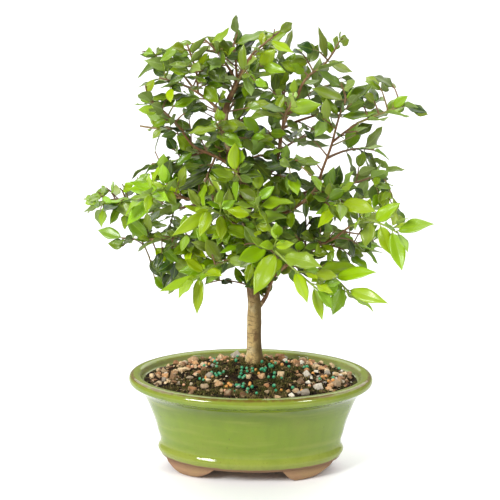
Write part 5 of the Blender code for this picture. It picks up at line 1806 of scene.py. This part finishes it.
def surfaced(made, colour, roughness, relief=None, depth=0.1, **constant):
    """The material with its colour, roughness and relief, whose depth is in millimetres, on its shader."""
    tree = made.node_tree
    shader = next(n for n in tree.nodes if n.type == "BSDF_PRINCIPLED")
    tree.links.new(colour, shader.inputs["Base Color"])
    if isinstance(roughness, bpy.types.NodeSocket):
        tree.links.new(roughness, shader.inputs["Roughness"])
    else:
        shader.inputs["Roughness"].default_value = roughness
    if relief is not None:
        normal = add(tree, "Bump", {"Height": relief, "Distance": depth * MM, "Strength": 1.0})
        tree.links.new(normal, shader.inputs["Normal"])
    for socket, value in constant.items():
        shader.inputs[socket.replace("_", " ")].default_value = value
    return made


def stoneware_material(s):
    """Wheel-thrown stoneware dipped in a glossy yellow-green ash glaze. The glaze breaks brown on sharp
    edges, pools brighter on the lip and the base ridge, and stops above a bare sandy foot."""
    made, node = new_material("ash-glazed stoneware")
    place = in_millimetres(node)
    height = node("SeparateXYZ", (place,), 2)
    cloud = node("TexNoise", {"Vector": place, "Scale": 1 / 26, "Detail": 3.0})
    speck = node("TexNoise", {"Vector": place, "Scale": 1 / 1.6})
    drawn_down = node("VectorMath", (place, (1.0, 1.0, 0.16)), operation="MULTIPLY")
    streak = node("TexNoise", {"Vector": drawn_down, "Scale": 1 / 7, "Detail": 4.0})
    drawn_round = node("VectorMath", (place, (0.10, 0.10, 1.0)), operation="MULTIPLY")
    ring = node("TexNoise", {"Vector": drawn_round, "Scale": 1 / 5.5, "Detail": 3.0})
    level = node("Math", (height, swing(node, cloud, 9.0)), operation="ADD")
    # The darker band just under the lip is partly thinner glaze and partly painted shade under the lip's
    # overhang
    glaze = node("ValToRGB", (node("MapRange", (level, 10.0, 90.0)),), stops=(
        (0.05, s.glaze_ridge), (0.13, s.glaze_ridge), (0.22, s.glaze_body), (0.52, s.glaze_body),
        (0.78, s.glaze_dark_and_shade), (0.835, s.glaze_body), (0.87, s.glaze_thick)))
    # Ash glaze thins over an edge and shows the brown body there
    drip = node("TexNoise", {"Vector": place, "Scale": 1 / 5, "Detail": 3.0})
    thin = node("Attribute", out=2, attribute_name="thin_glaze")
    ragged = node("Math", (thin, node("MapRange", (drip, 0.3, 0.6, 0.55, 1.25))), operation="MULTIPLY")
    # Under the inner edge the wall is painted paler: partly thin, paler glaze, partly a painted reflection of
    # the bright room
    inner = node("Attribute", out=2, attribute_name="inner_wall")
    paler_and_sheen = node("Math", (inner, 0.55), operation="MULTIPLY")
    cell = node("TexVoronoi", {"Vector": place, "Scale": 1 / 9})
    pinhole = node("MapRange", (cell, 0.035, 0.055, 1.0, 0.0))
    pitted = node("Math", (pinhole, 0.7), operation="MULTIPLY")
    glaze = layered(
        node, glaze, (s.glaze_dark_and_shade, streak, 0.45, 0.72, 0.22), (s.glaze_ridge, ring, 0.50, 0.70, 0.5),
        (s.glaze_thick, cloud, 0.52, 0.75, 0.45), (s.glaze_break, speck, 0.60, 0.75, 0.35),
        (s.glaze_break, ragged, 0.28, 0.75, 0.95), (linear("#9AA070"), paler_and_sheen), (linear("#3D3212"), pitted))
    sand = node("TexNoise", {"Vector": place, "Scale": 1 / 0.8, "Detail": 3.0, "Roughness": 0.6})
    flame = node("TexNoise", {"Vector": place, "Scale": 1 / 14})
    # Painted shade: the bare clay is painted darker towards the glaze line, under the overhanging ridge
    clay = layered(node, s.clay, (s.clay_red, flame, 0.45, 0.65, 1.0),
                   (linear("#8C6746"), sand, 0.35, 0.7, 0.35), (linear("#76583F"), height, 6.5, 10.5, 0.75))
    wavy = swing(node, node("TexNoise", {"Vector": place, "Scale": 1 / 9}), 1.6)
    line = s.glaze_end / MM
    glazed = node("MapRange", (node("Math", (height, wavy), operation="ADD"), line - 0.25, line + 0.25))
    # The well inside and under the soil is unglazed
    well = node("MapRange", (node("Attribute", out=2, attribute_name="inside_well"), 0.4, 0.6))
    outside = node("Math", (1.0, well), operation="SUBTRACT")
    glazed = node("Math", (glazed, outside), operation="MULTIPLY")
    bare = node("Math", (1.0, glazed), operation="SUBTRACT")
    soft = node("Math", (node("TexNoise", {"Vector": place, "Scale": 1 / 3.2}), 0.3), operation="MULTIPLY")
    gritty = node("Math", (sand, bare), operation="MULTIPLY")
    relief = node("Math", (soft, gritty), operation="ADD")
    relief = node("Math", (relief, node("Math", (pinhole, 1.2), operation="MULTIPLY")), operation="SUBTRACT")
    roughness = node("MapRange", (glazed, 0.0, 1.0, 0.85, 0.07))
    return surfaced(made, layered(node, clay, (glaze, glazed)), roughness, relief, 0.22, IOR=1.52)


def earth_material(s):
    """Damp compost: dark, crumbly and matte, with olive films of moss on it."""
    made, node = new_material("damp crumbly compost")
    place = in_millimetres(node)
    fine = node("TexNoise", {"Vector": place, "Scale": 1 / 1.1, "Detail": 4.0, "Roughness": 0.65})
    wide = node("TexNoise", {"Vector": place, "Scale": 1 / 10, "Detail": 3.0})
    patch = node("MapRange", (wide, 0.48, 0.6))
    film = node("Math", (patch, node("MapRange", (fine, 0.3, 0.6, 0.2, 0.6))), operation="MULTIPLY")
    colour = layered(node, s.earth, (s.earth_dry, fine, 0.42, 0.7, 1.0), (s.moss, film))
    # Crumbly earth has almost no sheen
    return surfaced(made, colour, 0.95, fine, 0.9, Specular_IOR_Level=0.15)


@functools.lru_cache(maxsize=None)
def gravel_material():
    """Crushed river gravel: tan, grey, pinkish brown and a few pale stones, dusty and dry."""
    made, node = new_material("crushed river gravel")
    place = in_millimetres(node)
    codes = ("#4E3426", "#B57D50", "#6E553C", "#DCA873", "#A08C72", "#DAB98B", "#F0D4A8", "#968D81",
             "#F6EDDA")
    stops = [(0.04 + 0.92 * i / (len(codes) - 1), linear(code)) for i, code in enumerate(codes)]
    colour = node("ValToRGB", (node("Attribute", out=2, attribute_name="tone"),), stops=stops)
    mottle = node("TexNoise", {"Vector": place, "Scale": 1 / 1.4, "Detail": 4.0, "Roughness": 0.6})
    dust = node("TexNoise", {"Vector": place, "Scale": 1 / 3})
    colour = layered(node, colour, (linear("#5E4A32"), mottle, 0.45, 0.7, 0.4),
                     (linear("#DCC9A4"), dust, 0.52, 0.7, 0.3))
    return surfaced(made, colour, 0.85, mottle, 0.35)


def crumb_material(s):
    """Crumbs of compost and broken bark, nearly black where damp and brown where dry."""
    made, node = new_material("compost crumbs and bark")
    colour = node("ValToRGB", (node("Attribute", out=2, attribute_name="tone"),), stops=(
        (0.0, linear("#1A110B")), (0.35, s.earth), (0.7, s.earth_dry), (0.93, linear("#7E6043")),
        (1.0, linear("#BFA27A"))))
    fine = node("TexNoise", {"Vector": in_millimetres(node), "Scale": 1 / 0.7, "Detail": 3.0})
    colour = layered(node, colour, (linear("#1F150E"), fine, 0.4, 0.7, 0.4))
    return surfaced(made, colour, 0.92, fine, 0.3, Specular_IOR_Level=0.2)


def moss_material(s):
    """Short cushion moss, olive where alive and straw brown where it died back."""
    made, node = new_material("cushion moss")
    colour = node("ValToRGB", (node("Attribute", out=2, attribute_name="tone"),), stops=(
        (0.0, linear("#343812")), (0.3, s.moss), (0.55, linear("#827E42")), (0.8, s.moss_old),
        (1.0, linear("#AE9462"))))
    shade = node("TexNoise", {"Vector": in_millimetres(node), "Scale": 1 / 2.4})
    colour = layered(node, colour, (linear("#2C3312"), shade, 0.4, 0.65, 0.5))
    return surfaced(made, colour, 0.9, Specular_IOR_Level=0.2)


def bead_material(s):
    """Granules of fertiliser in a smooth dyed resin coat with a soft shine."""
    made, node = new_material("resin-coated granules")
    colour = node("ValToRGB", (node("Attribute", out=2, attribute_name="tone"),), stops=(
        (0.0, s.bead_green), (0.25, s.bead_green), (0.26, s.bead_orange), (0.75, s.bead_orange),
        (0.76, s.bead_peach)))
    cloud = node("TexNoise", {"Vector": in_millimetres(node), "Scale": 1 / 1.6})
    colour = layered(node, colour, (linear("#D8C9A4"), cloud, 0.45, 0.75, 0.35))
    return surfaced(made, colour, 0.36, cloud, 0.05, IOR=1.5)


def screen_material(s):
    """Extruded black polyethylene strands with a dull skin."""
    made, node = new_material("black woven plastic")
    dust = node("TexNoise", {"Vector": in_millimetres(node), "Scale": 1 / 2, "Detail": 3.0})
    colour = layered(node, s.screen, (linear("#5A5148"), dust, 0.5, 0.75, 0.5))
    return surfaced(made, colour, 0.5, dust, 0.05, IOR=1.5)


def bark_material(s):
    """Smooth thin jaboticaba bark that flakes to fresh pale patches. It is tan on the trunk, and brown on the
    branches and the youngest wood. The brown is partly painted shade of the crown, and the trunk's right side
    is painted darker as shade."""
    made, node = new_material("flaking smooth bark")
    place = in_millimetres(node)
    radius = node("Attribute", out=2, attribute_name="axis_radius")
    # Thinner wood is browner: partly its own bark, partly painted shade of the crown
    colour = node("ValToRGB", (node("MapRange", (radius, 0.6, 7.7)),), stops=(
        (0.0, s.twig), (0.12, s.twig), (0.24, s.brown_bark_and_shade), (0.58, s.brown_bark_and_shade), (0.80, s.bark), (1.0, s.bark)))
    patch, wrinkle, thread = (
        node("TexNoise", {"Vector": node("VectorMath", (place, stretch), operation="MULTIPLY"),
                          "Scale": 1 / size, "Detail": detail, "Roughness": rough})
        for stretch, size, detail, rough in (
            ((1.0, 1.0, 0.45), 8.0, 4.0, 0.55), ((0.3, 0.3, 1.0), 1.6, 3.0, 0.6),
            ((1.0, 1.0, 0.25), 0.9, 4.0, 0.6)))
    pale = node("MapRange", (patch, 0.51, 0.60, 0.0, 0.85))
    flaked = node("Math", (pale, node("MapRange", (radius, 1.5, 5.0, 0.25, 1.0))), operation="MULTIPLY")
    # Painted shade: the trunk's right side, away from the light on the left, is painted darker green-brown
    side = node("Attribute", out=2, attribute_name="shaded_side")
    damp = node("Math", (side, swing(node, patch, 2.0)), operation="ADD")
    damp = node("MapRange", (damp, -0.15, 0.6, 0.0, 0.95))
    damp = node("Math", (damp, node("MapRange", (radius, 3.0, 4.5))), operation="MULTIPLY")
    colour = layered(
        node, colour, (s.bark_pale, flaked), (s.brown_bark_and_shade, patch, 0.46, 0.37, 0.8),
        (linear("#5A4429"), wrinkle, 0.54, 0.67, 0.72), (linear("#705A2E"), damp),
        (linear("#5C4630"), thread, 0.52, 0.75, 0.45))
    high, fine, low = (node("Math", (pattern, share), operation="MULTIPLY")
                       for pattern, share in ((patch, 1.6), (thread, 0.4), (wrinkle, 0.5)))
    relief = node("Math", (node("Math", (high, fine), operation="ADD"), low), operation="SUBTRACT")
    return surfaced(made, colour, 0.78, relief, 0.45)


def blade_pattern(node, s):
    """The vein pattern of a blade: 1 on the midrib, and 1 on fine side veins that sweep forward."""
    blade = node("Attribute", out=1, attribute_name="blade_place")
    away = node("Math", (node("SeparateXYZ", (blade,), 1),), operation="ABSOLUTE")
    rib = node("MapRange", (away, 0.008, 0.022, 1.0, 0.0))
    # Side veins leave the midrib at about 60 degrees, and are drawn about twice their true width to be seen
    swept = node("Math", (away, 0.6), operation="MULTIPLY")
    lane = node("Math", (node("SeparateXYZ", (blade,), 0), swept), operation="SUBTRACT")
    lane = node("Math", (lane, COMMON_BLADE * MM / s.vein_step), operation="MULTIPLY")
    wave = node("Math", (lane, 0.5), operation="PINGPONG")
    return rib, node("MapRange", (wave, 0.0, 0.12, 1.0, 0.0))


def leaf_colour(node, s):
    """The colour of a leaf by its age, each leaf a little different."""
    tag = node("SeparateXYZ", (node("Attribute", out=1, attribute_name="blade_place"),), 2)
    age = node("Attribute", out=2, attribute_name="age")
    colour = node("ValToRGB", (age,), stops=((0.0, s.old), (0.3, s.mature), (0.62, s.fresh), (0.95, s.lime)))
    own = {0: node("MapRange", (tag, 0.0, 1.0, 0.488, 0.524)), 4: colour}
    for socket, pace, least in ((1, 13.0, 0.94), (2, 7.0, 0.66)):
        drawn = node("Math", (node("Math", (tag, pace), operation="MULTIPLY"),), operation="FRACT")
        own[socket] = node("MapRange", (drawn, 0.0, 1.0, least, 1.28))
    return node("HueSaturation", own)


@functools.lru_cache(maxsize=None)
def leaf_materials(s):
    """Leathery waxed leaf: glossy above with a pale midrib, pale and matte below, on a thin stem."""
    upper, node = new_material("waxed leaf upper side")
    colour = leaf_colour(node, s)
    rib, vein = blade_pattern(node, s)
    cloud = node("TexNoise", {"Vector": in_millimetres(node), "Scale": 1 / 5})
    pale = layered(node, colour, (s.lime, 0.55))
    veins = node("Math", (vein, 0.10), operation="MULTIPLY")
    ribs = node("Math", (rib, 0.6), operation="MULTIPLY")
    colour = layered(node, colour, (pale, cloud, 0.45, 0.7, 0.25), (pale, veins), (pale, ribs))
    sunk = [node("Math", (line, depth), operation="MULTIPLY") for line, depth in ((rib, -1.0), (vein, -0.5))]
    surfaced(upper, colour, 0.29, node("Math", sunk, operation="ADD"), 0.06, IOR=1.5)

    lower, node = new_material("leaf underside")
    rib, vein = blade_pattern(node, s)
    veins = node("Math", (vein, 0.4), operation="MULTIPLY")
    lines = node("Math", (node("Math", (rib, veins), operation="MAXIMUM"), 0.3), operation="MULTIPLY")
    colour = layered(node, leaf_colour(node, s), (s.underside, 0.55), (linear("#B9CC8E"), lines))
    raised = node("Math", (rib, node("Math", (vein, 0.5), operation="MULTIPLY")), operation="ADD")
    surfaced(lower, colour, 0.55, raised, 0.06, IOR=1.4)

    stem, node = new_material("young stem")
    age = node("Attribute", out=2, attribute_name="age")
    mottle = node("TexNoise", {"Vector": in_millimetres(node), "Scale": 1 / 1.2, "Detail": 3.0})
    colour = layered(node, s.stem_red, (s.stem, age, 0.3, 0.7, 1.0),
                     (linear("#5A4426"), mottle, 0.45, 0.7, 0.5))
    return upper, lower, surfaced(stem, colour, 0.6)


def floor_material(s):
    """Matte white paper."""
    made, node = new_material("matte white paper")
    fibre = node("TexNoise", {"Vector": in_millimetres(node), "Scale": 1 / 0.8})
    return surfaced(made, layered(node, s.floor, (linear("#EDEDED"), fibre, 0.3, 0.7, 0.02)), 0.9)


def build_stage(settings):
    """A wide white floor, soft window light, and the camera of the front view."""
    scene = bpy.context.scene
    scene.view_settings.view_transform = "Standard"
    corners = [(-FLOOR, -FLOOR, 0), (FLOOR, -FLOOR, 0), (FLOOR, FLOOR, 0), (-FLOOR, FLOOR, 0)]
    floor = mesh_object("floor", corners, [(0, 1, 2, 3)], [floor_material(settings)])
    world = bpy.data.worlds.new("white room")
    world.use_nodes = True
    back = next(n for n in world.node_tree.nodes if n.type == "BACKGROUND")
    back.inputs[0].default_value = (1.0, 1.0, 1.0, 1.0)
    back.inputs[1].default_value = settings.room
    scene.world = world
    aim = VIEW_AIM * MM
    for name, at, wide, high, power in (
        ("window_left", (-0.9, -1.05, 1.05), 0.42, 0.62, settings.key),
        ("window_right", (1.0, -1.0, 1.4), 0.3, 0.5, settings.fill),
        ("window_far", (0.0, 2.5, 2.5), 5.0, 5.0, settings.far),
    ):
        light = bpy.data.lights.new(name, "AREA")
        light.shape = "RECTANGLE"
        light.size = wide
        light.size_y = high
        light.energy = power
        lamp = bpy.data.objects.new(name, light)
        lamp.location = at
        if name != "window_far":
            lamp.rotation_euler = (aim - Vector(at)).to_track_quat("-Z", "Y").to_euler()
        scene.collection.objects.link(lamp)
    camera = bpy.data.cameras.new("front")
    camera.sensor_width = SENSOR
    camera.lens = SENSOR * VIEW_SCALE / PICTURE_SIDE
    camera.shift_x = -(VIEW_CENTRE[0] - PICTURE_SIDE / 2) / PICTURE_SIDE
    camera.shift_y = (VIEW_CENTRE[1] - PICTURE_SIDE / 2) / PICTURE_SIDE
    camera.clip_end = 50.0
    eye = bpy.data.objects.new("front", camera)
    eye.location = aim + VIEW_BACK * (VIEW_DISTANCE * MM)
    eye.rotation_euler = (-VIEW_BACK).to_track_quat("-Z", "Y").to_euler()
    scene.collection.objects.link(eye)
    scene.camera = eye


SETTINGS = (
    ("bonsai_pot", PotSettings), ("bonsai_soil", SoilSettings), ("bonsai_wood", WoodSettings),
    ("bonsai_leaves", LeafSettings), ("bonsai_stage", StageSettings),
)


class BONSAI_OT_pot(bpy.types.Operator):
    """Make the glazed pot"""

    bl_idname = "bonsai.pot"
    bl_label = "Glazed pot"

    def execute(self, context):
        build_pot(context.scene.bonsai_pot)
        return {"FINISHED"}


class BONSAI_OT_soil(bpy.types.Operator):
    """Make the soil with its large stones, and the small gravel and crumbs on it"""

    bl_idname = "bonsai.soil"
    bl_label = "Soil and gravel"

    def execute(self, context):
        build_soil(context.scene.bonsai_soil)
        build_gravel(context.scene.bonsai_soil)
        return {"FINISHED"}


class BONSAI_OT_moss(bpy.types.Operator):
    """Grow the moss"""

    bl_idname = "bonsai.moss"
    bl_label = "Moss"

    def execute(self, context):
        build_moss(context.scene.bonsai_soil)
        return {"FINISHED"}


class BONSAI_OT_beads(bpy.types.Operator):
    """Strew the fertiliser beads"""

    bl_idname = "bonsai.beads"
    bl_label = "Fertiliser beads"

    def execute(self, context):
        build_beads(context.scene.bonsai_soil)
        return {"FINISHED"}


class BONSAI_OT_screens(bpy.types.Operator):
    """Weave the two drain screens"""

    bl_idname = "bonsai.screens"
    bl_label = "Drain screens"

    def execute(self, context):
        build_screens(context.scene.bonsai_soil)
        return {"FINISHED"}


class BONSAI_OT_wood(bpy.types.Operator):
    """Make the trunk and its branches"""

    bl_idname = "bonsai.wood"
    bl_label = "Trunk and branches"

    def execute(self, context):
        build_trunk(context.scene.bonsai_wood)
        return {"FINISHED"}


class BONSAI_OT_leaves(bpy.types.Operator):
    """Grow every spray with its leaves"""

    bl_idname = "bonsai.leaves"
    bl_label = "Leafy sprays"

    def execute(self, context):
        build_sprays(context.scene.bonsai_leaves)
        build_shoots(context.scene.bonsai_leaves)
        return {"FINISHED"}


class BONSAI_OT_stage(bpy.types.Operator):
    """Set the floor, the lights and the camera"""

    bl_idname = "bonsai.stage"
    bl_label = "Stage"

    def execute(self, context):
        build_stage(context.scene.bonsai_stage)
        return {"FINISHED"}


OPERATORS = (
    BONSAI_OT_pot, BONSAI_OT_soil, BONSAI_OT_moss, BONSAI_OT_beads, BONSAI_OT_screens, BONSAI_OT_wood,
    BONSAI_OT_leaves, BONSAI_OT_stage,
)


class BONSAI_PT_panel(bpy.types.Panel):
    bl_label = "Jaboticaba bonsai"
    bl_space_type = "VIEW_3D"
    bl_region_type = "UI"
    bl_category = "Bonsai"

    def draw(self, context):
        for key, group in SETTINGS:
            box = self.layout.box()
            for name in group.__annotations__:
                box.prop(getattr(context.scene, key), name)
        for operator in OPERATORS:
            self.layout.operator(operator.bl_idname)


def register():
    for key, group in SETTINGS:
        bpy.utils.register_class(group)
        setattr(bpy.types.Scene, key, PointerProperty(type=group))
    for made in (*OPERATORS, BONSAI_PT_panel):
        bpy.utils.register_class(made)


def unregister():
    for made in (BONSAI_PT_panel, *reversed(OPERATORS)):
        bpy.utils.unregister_class(made)
    for key, group in reversed(SETTINGS):
        delattr(bpy.types.Scene, key)
        bpy.utils.unregister_class(group)


def main():
    register()
    for operator in OPERATORS:
        result = getattr(bpy.ops.bonsai, operator.bl_idname.split(".")[1])()
        if result != {"FINISHED"}:
            raise RuntimeError(f"{operator.bl_label} wasn't made")


if __name__ == "__main__":
    main()
